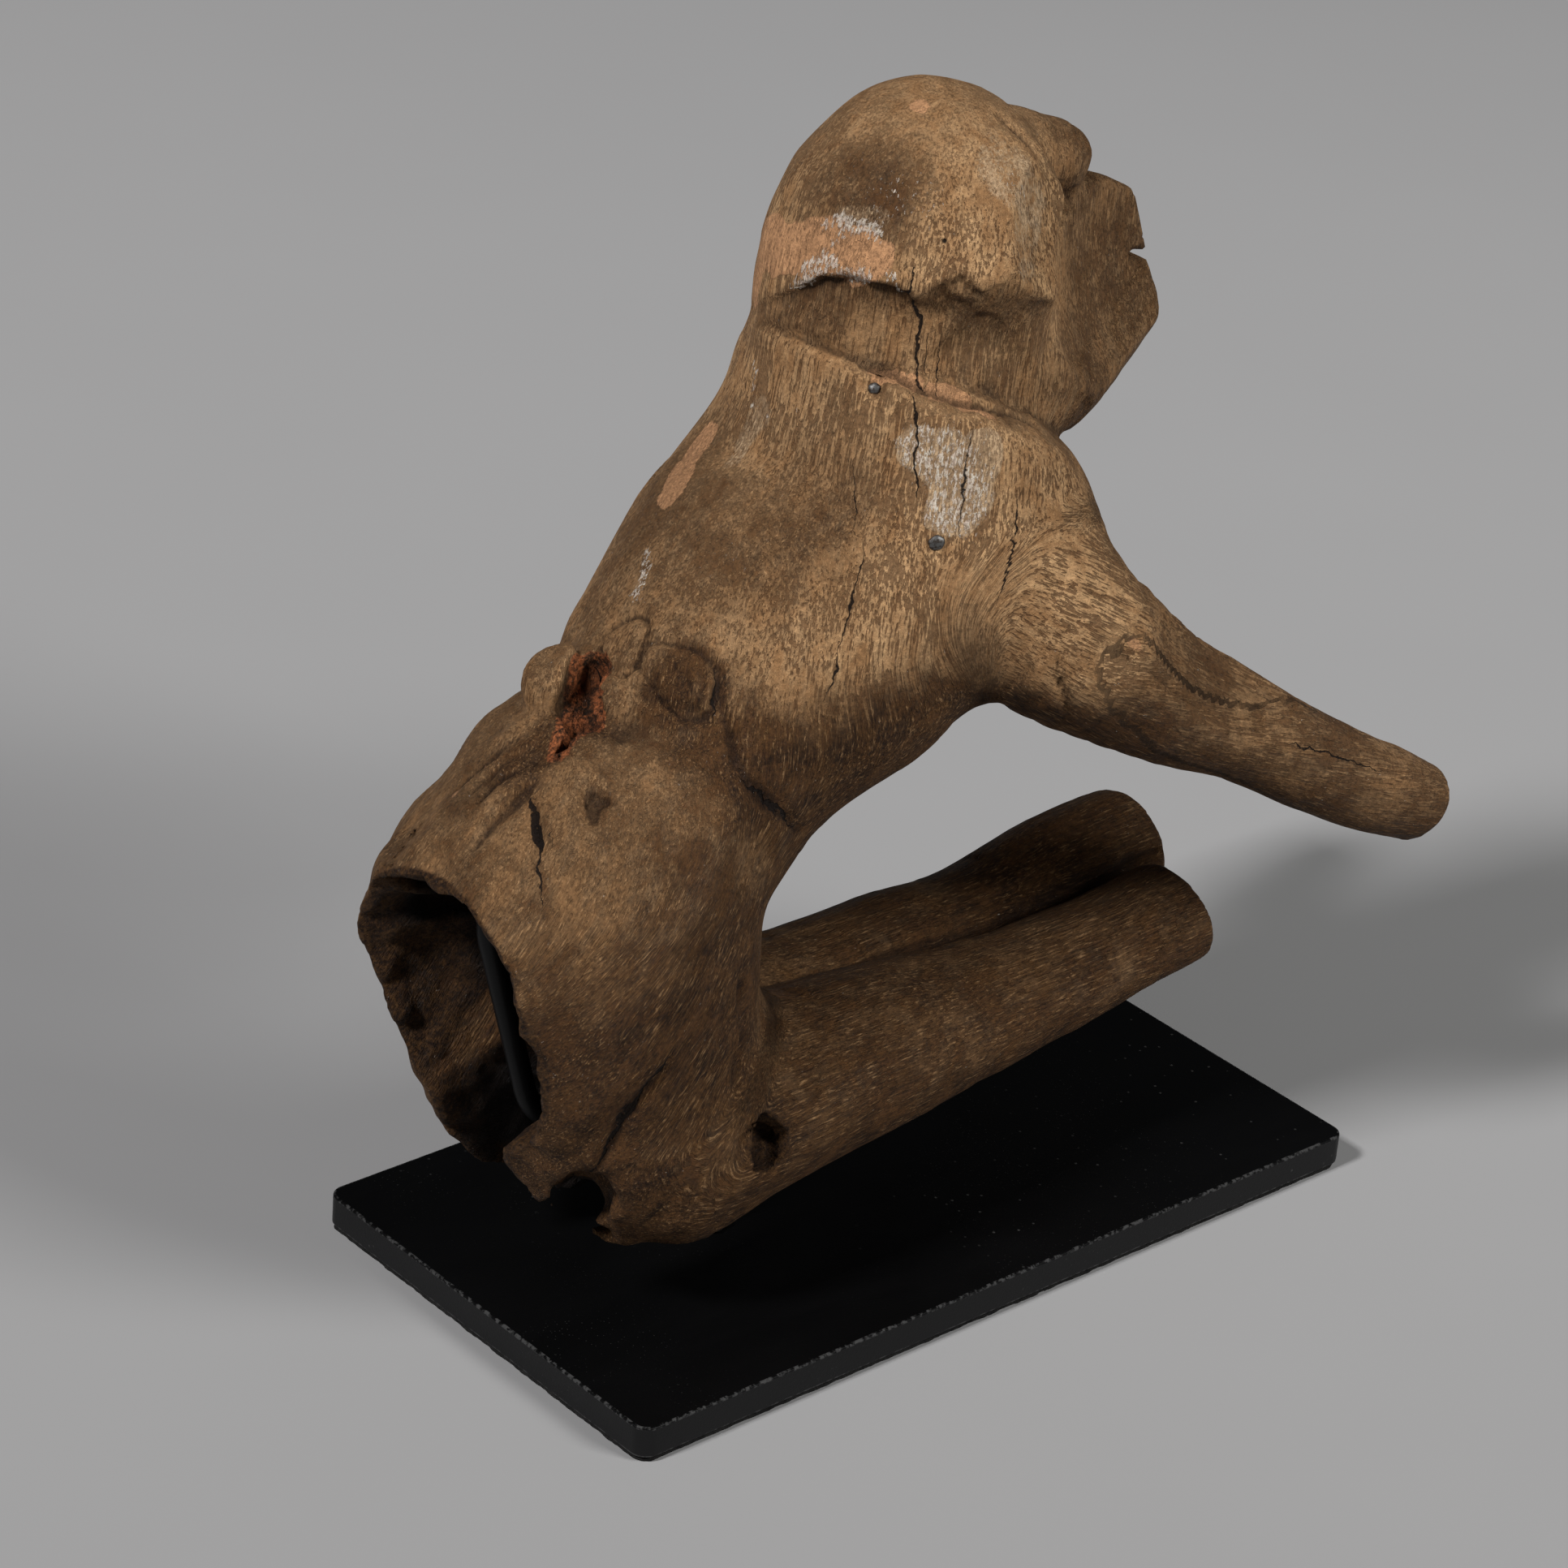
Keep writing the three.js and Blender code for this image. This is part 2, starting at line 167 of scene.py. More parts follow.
def carve(solid: Values, cut: Values, width: float) -> Values:
    """The solid's field with the cut taken away, with the new edge rounded over the width."""
    return -melt(-solid, cut, width)


# Forms of the figure as fields: below zero inside the wood, above zero outside, in about millimetres


@dataclass(frozen=True)
class Sweep:
    """Elliptic sections along a smooth spine, cut off flat at the last one."""

    stations: tuple[Station, ...]
    edge: float = 1.5
    count: int = 26
    around: float = 8.0
    dome: float = 12.0

    def field(self, points: Points) -> Values:
        """For each short run of the spine, the distance from the ellipse with the middle and half sizes of
        the nearest place on the run, with a dome before its start; the smallest over the runs, then kept
        behind the plane of the last section with the edge rounded.

        Args:
            points: places, in millimetres.

        Returns:
            The field at each point.
        """
        spine = catmull(np.array([station[0] for station in self.stations]), self.count)
        sizes = catmull(np.array([station[1:] for station in self.stations]), self.count)
        best = np.full(len(points), FAR)
        margin = sizes.max() + self.around
        low, high = spine.min(axis=0) - margin, spine.max(axis=0) + margin
        near = np.flatnonzero(((points > low) & (points < high)).all(axis=1))
        if len(near) == 0:
            return best
        here = points[near]
        closest = best[near]
        for run in range(self.count - 1):
            start, step = spine[run], spine[run + 1] - spine[run]
            along = unit(step)
            across = unit(LEFT - along[1] * along)
            out = np.cross(along, across)
            # The last run goes on past its end, up to the cut.
            furthest = 30.0 if run == self.count - 2 else 1.0
            share = np.clip((here - start) @ step / (step @ step), 0.0, furthest)
            away = here - start - share[:, None] * step
            share = np.minimum(share, 1.0)
            side = sizes[run, 0] + share * (sizes[run + 1, 0] - sizes[run, 0])
            depth = sizes[run, 1] + share * (sizes[run + 1, 1] - sizes[run, 1])
            local = np.stack([away @ across / side, away @ out / depth, away @ along / self.dome])
            reach = np.linalg.norm(local, axis=0)
            closest = np.minimum(closest, (reach - 1.0) * np.minimum(side, depth))
        past = (here - spine[-1]) @ unit(spine[-1] - spine[-2])
        best[near] = -melt(-closest, -past, self.edge)
        return best


@dataclass(frozen=True)
class Stacked:
    """Sections one above the other, each with its own lean and its own reach to every side."""

    sections: tuple[Section, ...]
    count: int = 56
    around: float = 6.0
    lean_room: float = 8.0

    def field(self, points: Points) -> Values:
        """The distance from the section that passes through each point, found between the planes of two
        neighbouring sections by the point's share of the way from one to the other.

        Args:
            points: places, in millimetres.

        Returns:
            The field at each point.
        """
        table = catmull(np.array(self.sections), self.count)
        table[:, 2] = np.radians(table[:, 2])
        best = np.full(len(points), FAR)
        margin = table[:, 3:].max() + self.around
        x, y, z = points.T
        spread = np.ptp(table[:, 1]) / 2.0 + margin + self.lean_room
        near = np.flatnonzero((np.abs(x - table[:, 1].mean()) < spread) & (np.abs(y) < margin)
                              & (z > table[0, 0] - margin) & (z < table[-1, 0] + margin))
        here = points[near]
        closest = best[near]
        height = [self.above(here, row) for row in table]
        for run in range(self.count - 1):
            low, high = height[run], height[run + 1]
            chosen = (low >= 0.0) & (high < 0.0)
            share = low[chosen] / (low[chosen] - high[chosen])
            rows = table[run] + share[:, None] * (table[run + 1] - table[run])
            closest[chosen] = np.minimum(closest[chosen], self.level(here[chosen], rows))
        for end, beyond in ((0, -height[0]), (-1, height[-1])):
            chosen = (beyond > 0.0) & (beyond < margin)
            rows = np.repeat(table[end][None], chosen.sum(), axis=0)
            flat = np.maximum(self.level(here[chosen], rows), beyond[chosen])
            closest[chosen] = np.minimum(closest[chosen], flat)
        best[near] = closest
        return best

    @staticmethod
    def above(points: Points, row: Values) -> Values:
        """How far the points lie above the plane of one section."""
        return (points[:, 0] - row[1]) * math.sin(row[2]) + (points[:, 2] - row[0]) * math.cos(row[2])

    @staticmethod
    def level(points: Points, rows: Values) -> Values:
        """Distance from the ellipse of each point's own section, by the reach on the point's side."""
        lean = rows[:, 2]
        ahead = (points[:, 0] - rows[:, 1]) * np.cos(lean) - (points[:, 2] - rows[:, 0]) * np.sin(lean)
        reach = np.where(ahead > 0.0, rows[:, 4], rows[:, 3])
        aside = np.where(points[:, 1] > 0.0, rows[:, 5], rows[:, 6])
        return (np.hypot(ahead / reach, points[:, 1] / aside) - 1.0) * np.minimum(reach, aside)


@dataclass(frozen=True)
class Facet:
    """A broad, slightly hollow facet that a blade left."""

    at: Spot
    out: Spot
    deep: float = 0.8
    radius: float = 70.0

    def field(self, points: Points) -> Values:
        """The distance from a large ball that dips the depth below the place."""
        middle = np.array(self.at) + (self.radius - self.deep) * unit(np.array(self.out))
        return np.linalg.norm(points - middle, axis=1) - self.radius


@dataclass(frozen=True)
class Lump:
    """A round-ended lump or pit."""

    at: Spot
    reach: Spot
    lean: float = 0.0

    def field(self, points: Points) -> Values:
        """The distance from an ellipsoid that leans about the side axis, by its radius.

        Args:
            points: places, in millimetres.

        Returns:
            The field at each point.
        """
        angle = math.radians(self.lean)
        away = points - np.array(self.at)
        x = math.cos(angle) * away[:, 0] - math.sin(angle) * away[:, 2]
        z = math.sin(angle) * away[:, 0] + math.cos(angle) * away[:, 2]
        local = np.stack([x, away[:, 1], z], axis=1) / np.array(self.reach)
        return (np.linalg.norm(local, axis=1) - 1.0) * min(self.reach)


@dataclass(frozen=True)
class Trail:
    """A line across the wood, such as a crack or a crease, with half widths for its middle and its ends."""

    path: tuple[Spot, ...]
    width: float = 0.5
    tail: float = 0.15

    def nearest(self, points: Points) -> tuple[Values, Points, Points, Values]:
        """The nearest place of the trail to each point.

        Args:
            points: places, in millimetres.

        Returns:
            Distance, nearest place, direction of the trail there, and share of the way along it.
        """
        knots = np.array(self.path, dtype=float)
        steps = np.diff(knots, axis=0)
        runs = np.concatenate([[0.0], np.cumsum(np.linalg.norm(steps, axis=1))])
        distance = np.full(len(points), np.inf)
        place = np.zeros_like(points)
        direction = np.zeros_like(points)
        way = np.zeros(len(points))
        for index, step in enumerate(steps):
            share = np.clip((points - knots[index]) @ step / (step @ step), 0.0, 1.0)
            spot = knots[index] + share[:, None] * step
            gap = np.linalg.norm(points - spot, axis=1)
            closer = gap < distance
            distance[closer] = gap[closer]
            place[closer] = spot[closer]
            direction[closer] = unit(step)
            way[closer] = (runs[index] + share[closer] * (runs[index + 1] - runs[index])) / runs[-1]
        return distance, place, direction, way

    def half_width(self, way: Values) -> Values:
        """Half width along the trail: full in the middle, thin at the tails."""
        return self.tail + (self.width - self.tail) * np.sin(np.pi * np.clip(way, 0.0, 1.0)) ** 0.7

    def field(self, points: Points) -> Values:
        """The distance from a round groove of the trail's half width."""
        distance, _, _, way = self.nearest(points)
        return distance - self.half_width(way)


@dataclass(frozen=True)
class Boss:
    """A low swelling with rings round it, such as the overgrown end of a branch."""

    at: Spot
    out: Spot
    reach: tuple[float, float]
    turn: float
    height: float
    rings: float
    groove: float
    ring_rate: float = 13.0

    def rise(self, points: Points) -> Values:
        """How far the points move outwards: up on the swelling, up and down on its rings, and down in a
        narrow groove at its rim, by the reach in the plane that the swelling faces.

        Args:
            points: places, in millimetres.

        Returns:
            The move of each point, in millimetres.
        """
        r, here = self.polar(points)
        ripple = self.rings * np.cos(self.ring_rate * r) * smooth_step(1.1, 0.8, r)
        return here * (self.height * smooth_step(1.05, 0.75, r) + ripple - self.groove * self.rim(r))

    def polar(self, points: Points) -> tuple[Values, Values]:
        """Each point's reach in the swelling's plane, one at its rim, and whether it lies near that plane."""
        facing = unit(np.array(self.out))
        across = unit(np.cross(UP, facing))
        up = np.cross(facing, across)
        angle = math.radians(self.turn)
        away = points - np.array(self.at)
        first = (math.cos(angle) * (away @ across) + math.sin(angle) * (away @ up)) / self.reach[0]
        second = (math.cos(angle) * (away @ up) - math.sin(angle) * (away @ across)) / self.reach[1]
        wander = 0.12 * np.sin(3.0 * np.arctan2(second, first) + 0.7)
        return np.hypot(first, second) * (1.0 + wander), smooth_step(5.0, 3.5, np.abs(away @ facing))

    @staticmethod
    def rim(r: Values) -> Values:
        """One on the groove round the swelling, nought away from it."""
        return np.exp(-(((r - 1.12) / 0.15) ** 2))

    def shade(self, points: Points) -> Values:
        """Painted shade in the groove and, more weakly, between the rings."""
        r, here = self.polar(points)
        ringed = min(3.0 * self.rings, 1.0)
        between = smooth_step(0.0, -0.8, np.cos(self.ring_rate * r)) * smooth_step(1.15, 1.0, r) * ringed
        return here * (0.3 * self.rim(r) ** 2 + 0.2 * between)


# Meshing


class SurfaceNet:
    """Turns a field into a closed mesh: one point in each cell that the surface crosses, at the mean of the
    places where it crosses the cell's edges, and one four-sided face round each crossed edge."""

    CORNERS = np.array(list(itertools.product((0, 1), repeat=3)))
    EDGES = [(a, b) for a in range(8) for b in range(a + 1, 8) if (a ^ b).bit_count() == 1]
    AWAY = 9.0

    def __init__(self, low: Points, high: Points, pitch: float, coarse: int = 4) -> None:
        """Lays out the grid.

        Args:
            low: lowest corner, in millimetres.
            high: highest corner.
            pitch: size of a cell.
            coarse: fine cells along each side of a coarse block.
        """
        self.low = np.asarray(low, dtype=float)
        self.pitch = pitch
        self.coarse = coarse
        self.blocks = np.ceil((np.asarray(high) - self.low) / (pitch * coarse)).astype(int)
        self.shape = self.blocks * coarse + 1

    def sample(self, solid: Callable[[Points], Values]) -> Values:
        """Field on the fine grid: worked out only in blocks near the surface, and only its sign elsewhere.

        Args:
            solid: the field.

        Returns:
            The field at each grid point, as a block of three dimensions.
        """
        size = self.pitch * self.coarse
        index = self.every(*self.blocks)
        middle = solid(self.low + (index + 0.5) * size)
        grid = np.where(middle.reshape(self.blocks) < 0.0, -self.AWAY, self.AWAY)
        for axis in range(3):
            grid = np.repeat(grid, self.coarse, axis=axis)
        grid = np.pad(grid, ((0, 1), (0, 1), (0, 1)), mode="edge")
        wanted = np.zeros(self.shape, dtype=bool)
        step = self.every(*(self.coarse + 1,) * 3)
        near = index[np.abs(middle) < 1.5 * size]
        spots = (near[:, None, :] * self.coarse + step[None]).reshape(-1, 3)
        wanted[tuple(spots.T)] = True
        cells = np.argwhere(wanted)
        grid[wanted] = solid(self.low + cells * self.pitch)
        return grid

    @staticmethod
    def every(*counts: int) -> np.ndarray:
        """Every whole-number place of a block with those counts, one row each."""
        steps = np.meshgrid(*(np.arange(count) for count in counts), indexing="ij")
        return np.stack(steps, axis=-1).reshape(-1, 3)

    def mesh(self, grid: Values) -> tuple[Points, np.ndarray]:
        """Points and faces of the surface where the field is zero.

        Args:
            grid: the field at each grid point.

        Returns:
            The points, in millimetres, and the four corners of each face, turned outwards.
        """
        corner_values = np.stack(
            [grid[x : x + self.shape[0] - 1, y : y + self.shape[1] - 1, z : z + self.shape[2] - 1]
             for x, y, z in self.CORNERS],
            axis=-1,
        )
        inside = corner_values < 0.0
        crossed = inside.any(axis=-1) & ~inside.all(axis=-1)
        cells = np.argwhere(crossed)
        values = corner_values[crossed]
        total = np.zeros((len(cells), 3))
        hits = np.zeros(len(cells))
        for a, b in self.EDGES:
            cut = (values[:, a] < 0.0) != (values[:, b] < 0.0)
            share = (values[cut, a] / (values[cut, a] - values[cut, b]))[:, None]
            total[cut] += self.CORNERS[a] + share * (self.CORNERS[b] - self.CORNERS[a])
            hits[cut] += 1.0
        points = self.low + (cells + total / hits[:, None]) * self.pitch
        number = np.full(crossed.shape, -1)
        number[crossed] = np.arange(len(cells))
        return points, np.concatenate([self.ring(grid, number, axis) for axis in range(3)])

    def ring(self, grid: Values, number: np.ndarray, axis: int) -> np.ndarray:
        """Faces round the crossed grid edges of one direction.

        Args:
            grid: the field at each grid point.
            number: the point number of each cell.
            axis: direction of the edges.

        Returns:
            The four corners of each face.
        """
        turned = np.moveaxis(grid, axis, 0)
        cells = np.moveaxis(number, axis, 0)
        start, end = turned[:-1] < 0.0, turned[1:] < 0.0
        i, j, k = (np.argwhere((start != end)[:, 1:-1, 1:-1]) + np.array([0, 1, 1])).T
        around = (cells[i, j - 1, k - 1], cells[i, j, k - 1], cells[i, j, k], cells[i, j - 1, k])
        quads = np.stack(around, axis=1)
        # With y moved to the front, the other two directions change hands, and the turn with them.
        outward = ~start[i, j, k] if axis == 1 else start[i, j, k]
        return np.where(outward[:, None], quads, quads[:, ::-1])


def linked(name: str, data: bpy.types.ID) -> bpy.types.Object:
    """A new object with the data, linked to the scene."""
    made = bpy.data.objects.new(name, data)
    bpy.context.scene.collection.objects.link(made)
    return made


class Skin:
    """A piece's points and faces, and what is stored on its points."""

    def __init__(self, points: Points, faces: np.ndarray) -> None:
        """Takes the points, in millimetres, and the four corners of each face."""
        self.points = points
        self.faces = faces
        self.layers: dict[str, np.ndarray] = {}

    def normals(self) -> Points:
        """Outward direction at each point: the mean of its faces' directions, by their size."""
        a, b, c, d = (self.points[self.faces[:, n]] for n in range(4))
        direction = np.cross(c - a, d - b)
        total = np.zeros_like(self.points)
        for n in range(4):
            for axis in range(3):
                total[:, axis] += np.bincount(self.faces[:, n], direction[:, axis], len(self.points))
        return unit(total)

    def neighbour_mean(self, values: np.ndarray) -> np.ndarray:
        """Mean of the values at each point's neighbours along the faces' edges."""
        columns = values.reshape(len(self.points), -1)
        total = np.zeros_like(columns)
        count = np.zeros(len(self.points))
        for n in range(4):
            here, there = self.faces[:, n], self.faces[:, (n + 1) % 4]
            for start, end in ((here, there), (there, here)):
                count += np.bincount(start, minlength=len(self.points))
                for column in range(columns.shape[1]):
                    total[:, column] += np.bincount(start, columns[end, column], len(self.points))
        return (total / count[:, None]).reshape(values.shape)

    def hollowness(self, rounds: int) -> Values:
        """How far each point lies below the mean of those round it, above zero in creases, in millimetres.

        Args:
            rounds: how many times the surface is averaged with its neighbours.

        Returns:
            One number for each point.
        """
        smooth = self.points
        for _ in range(rounds):
            smooth = self.neighbour_mean(smooth)
        return ((smooth - self.points) * self.normals()).sum(axis=1)

    def build(self, name: str) -> bpy.types.Object:
        """Makes the Blender object, in metres, with its stored layers.

        Args:
            name: name of the piece.

        Returns:
            The new object.
        """
        mesh = bpy.data.meshes.new(name)
        mesh.vertices.add(len(self.points))
        mesh.vertices.foreach_set("co", (self.points * MM).ravel())
        mesh.loops.add(self.faces.size)
        mesh.loops.foreach_set("vertex_index", self.faces.ravel())
        mesh.polygons.add(len(self.faces))
        mesh.polygons.foreach_set("loop_start", np.arange(len(self.faces)) * self.faces.shape[1])
        mesh.polygons.foreach_set("use_smooth", np.ones(len(self.faces), dtype=bool))
        for layer, values in self.layers.items():
            kind, entry = ("FLOAT_VECTOR", "vector") if values.ndim == 2 else ("FLOAT", "value")
            slot = mesh.attributes.new(layer, kind, "POINT")
            slot.data.foreach_set(entry, values.astype(np.float32).ravel())
        mesh.update(calc_edges=True)
        mesh.validate()
        return linked(name, mesh)


# Shader maths


@dataclass(frozen=True)
class Noise:
    """Settings of a cloudy noise: cells in each unit, finer layers, their strength, how far it bends itself,
    and how far it is drawn out along the third axis, where one is not at all."""

    scale: float
    detail: float = 3.0
    rough: float = 0.55
    warp: float = 0.0
    along: float = 1.0


class Socket:
    """A shader value that takes part in plain arithmetic: each operator adds a Math node."""

    def __init__(self, shader: "Shader", link: bpy.types.NodeSocket) -> None:
        """Wraps an output socket of the shader's tree."""
        self.shader = shader
        self.link = link

    def maths(self, operation: str, first: "Socket | float", second: "Socket | float" = 0.0) -> "Socket":
        """A Math node on two values."""
        return self.shader.node("ShaderNodeMath", {"operation": operation}, {0: first, 1: second})

    def __add__(self, other: "Socket | float") -> "Socket":
        """Sum."""
        return self.maths("ADD", self, other)

    def __mul__(self, other: "Socket | float") -> "Socket":
        """Product."""
        return self.maths("MULTIPLY", self, other)

    def __sub__(self, other: "Socket | float") -> "Socket":
        """Difference."""
        return self.maths("SUBTRACT", self, other)

    def __rsub__(self, other: float) -> "Socket":
        """Difference from a number."""
        return self.maths("SUBTRACT", other, self)

    __radd__ = __add__
    __rmul__ = __mul__

    def size(self) -> "Socket":
        """The value without its sign."""
        return self.maths("ABSOLUTE", self)

    def most(self, other: "Socket | float") -> "Socket":
        """The larger of two values."""
        return self.maths("MAXIMUM", self, other)

    def step(self, low: float, high: float) -> "Socket":
        """Zero below low, one above high and smooth between; the other way round where high is smaller."""
        start = float(high < low)
        sockets = {0: self, 1: min(low, high), 2: max(low, high), 3: start, 4: 1.0 - start}
        return self.shader.node("ShaderNodeMapRange", {"interpolation_type": "SMOOTHSTEP"}, sockets)


class Shader:
    """A material under construction."""

    def __init__(self, name: str) -> None:
        """Makes an empty material with one main shader.

        Args:
            name: name of the material.
        """
        self.material = bpy.data.materials.new(name)
        self.material.use_nodes = True
        self.tree = self.material.node_tree
        self.surface = self.tree.nodes["Principled BSDF"]

    def node(
        self,
        kind: str,
        settings: dict[str, object] | None = None,
        sockets: dict[int | str, object] | None = None,
        output: int | str = 0,
    ) -> Socket:
        """Adds a node, applies its settings, then fills its inputs.

        Args:
            kind: type of the node.
            settings: properties of the node; "stops" gives a ramp its places and colours.
            sockets: value or link of each input, by number or name.
            output: which output to give back.

        Returns:
            The wanted output.
        """
        made = self.tree.nodes.new(kind)
        for key, value in (settings or {}).items():
            if key == "stops":
                self.fill_ramp(made.color_ramp, value)
            else:
                setattr(made, key, value)
        for key, value in (sockets or {}).items():
            if isinstance(value, Socket):
                self.tree.links.new(value.link, made.inputs[key])
            elif isinstance(value, tuple) and len(value) == 3 and made.inputs[key].type == "RGBA":
                made.inputs[key].default_value = (*value, 1.0)
            else:
                made.inputs[key].default_value = value
        return Socket(self, made.outputs[output])

    @staticmethod
    def fill_ramp(ramp: bpy.types.ColorRamp, stops: Sequence[tuple[float, Colour]]) -> None:
        """Puts the stops, each a place and a colour, on a ramp that starts with two."""
        while len(ramp.elements) < len(stops):
            ramp.elements.new(1.0)
        for element, (place, colour) in zip(ramp.elements, stops):
            element.position = place
            element.color = (*colour, 1.0)

    def place(self) -> Socket:
        """The point's place on the object, in metres."""
        return self.node("ShaderNodeTexCoord", output="Object")

    def stored(self, name: str, output: str = "Fac") -> Socket:
        """A layer stored on the piece's points, as a number or a vector."""
        return self.node("ShaderNodeAttribute", {"attribute_name": name}, output=output)

    def stretched(self, vector: Socket, scale: Spot) -> Socket:
        """The vector with each axis scaled, so that patterns on it are drawn out along the small ones."""
        return self.node("ShaderNodeVectorMath", {"operation": "MULTIPLY"}, {0: vector, 1: scale})

    def noise(self, vector: Socket, kind: Noise) -> Socket:
        """Cloudy noise between nought and one.

        Args:
            vector: where to read it.
            kind: its settings.

        Returns:
            The noise.
        """
        drawn = vector if kind.along == 1.0 else self.stretched(vector, (1.0, 1.0, kind.along))
        sockets = {"Vector": drawn, "Scale": kind.scale, "Detail": kind.detail, "Roughness": kind.rough,
                   "Distortion": kind.warp}
        return self.node("ShaderNodeTexNoise", {}, sockets)

    def cells(self, vector: Socket, scale: float) -> Socket:
        """Distance to the nearest of scattered points."""
        return self.node("ShaderNodeTexVoronoi", {"feature": "F1"}, {"Vector": vector, "Scale": scale})

    def measured(self, operation: str, vector: Socket, other: Spot) -> Socket:
        """A number from two vectors, such as their distance."""
        sockets = {0: vector, 1: other}
        return self.node("ShaderNodeVectorMath", {"operation": operation}, sockets, output="Value")

    def mix(
        self, share: "Socket | float", first: "Socket | Colour", second: "Socket | Colour", blend: str = "MIX"
    ) -> Socket:
        """A colour between two.

        Args:
            share: nought gives the first, one the second.
            first: the colour underneath.
            second: the colour on top.
            blend: how the second lies on the first.

        Returns:
            The mixed colour.
        """
        settings = {"data_type": "RGBA", "blend_type": blend, "clamp_factor": True}
        return self.node("ShaderNodeMix", settings, {0: share, 6: first, 7: second}, output=2)

    def ramp(self, value: Socket, stops: Sequence[tuple[float, Colour]]) -> Socket:
        """A colour read from a ramp."""
        return self.node("ShaderNodeValToRGB", {"stops": stops}, {0: value})

    def bump(self, height: Socket, depth: float, strength: float = 1.0) -> Socket:
        """Small relief: height one stands the depth, in metres, above height nought."""
        return self.node("ShaderNodeBump", {}, {"Strength": strength, "Distance": depth, "Height": height})

    def finish(
        self,
        colour: "Socket | Colour",
        roughness: "Socket | float",
        normal: Socket | None = None,
        metallic: float = 0.0,
        specular: float = 0.5,
    ) -> bpy.types.Material:
        """Connects the main shader.

        Args:
            colour: base colour.
            roughness: roughness.
            normal: relief, from a bump node.
            metallic: one for bare metal.
            specular: strength of the plain reflection, a fixed number.

        Returns:
            The material.
        """
        wanted = {"Base Color": colour, "Roughness": roughness, "Metallic": metallic,
                  "Specular IOR Level": specular}
        if normal is not None:
            wanted["Normal"] = normal
        for key, value in wanted.items():
            if isinstance(value, Socket):
                self.tree.links.new(value.link, self.surface.inputs[key])
            else:
                self.surface.inputs[key].default_value = (*value, 1.0) if isinstance(value, tuple) else value
        return self.material


# Finishes


def times(three: Colour | Spot, factor: float) -> Colour | Spot:
    """The three numbers, each multiplied by the factor."""
    return tuple(factor * number for number in three)


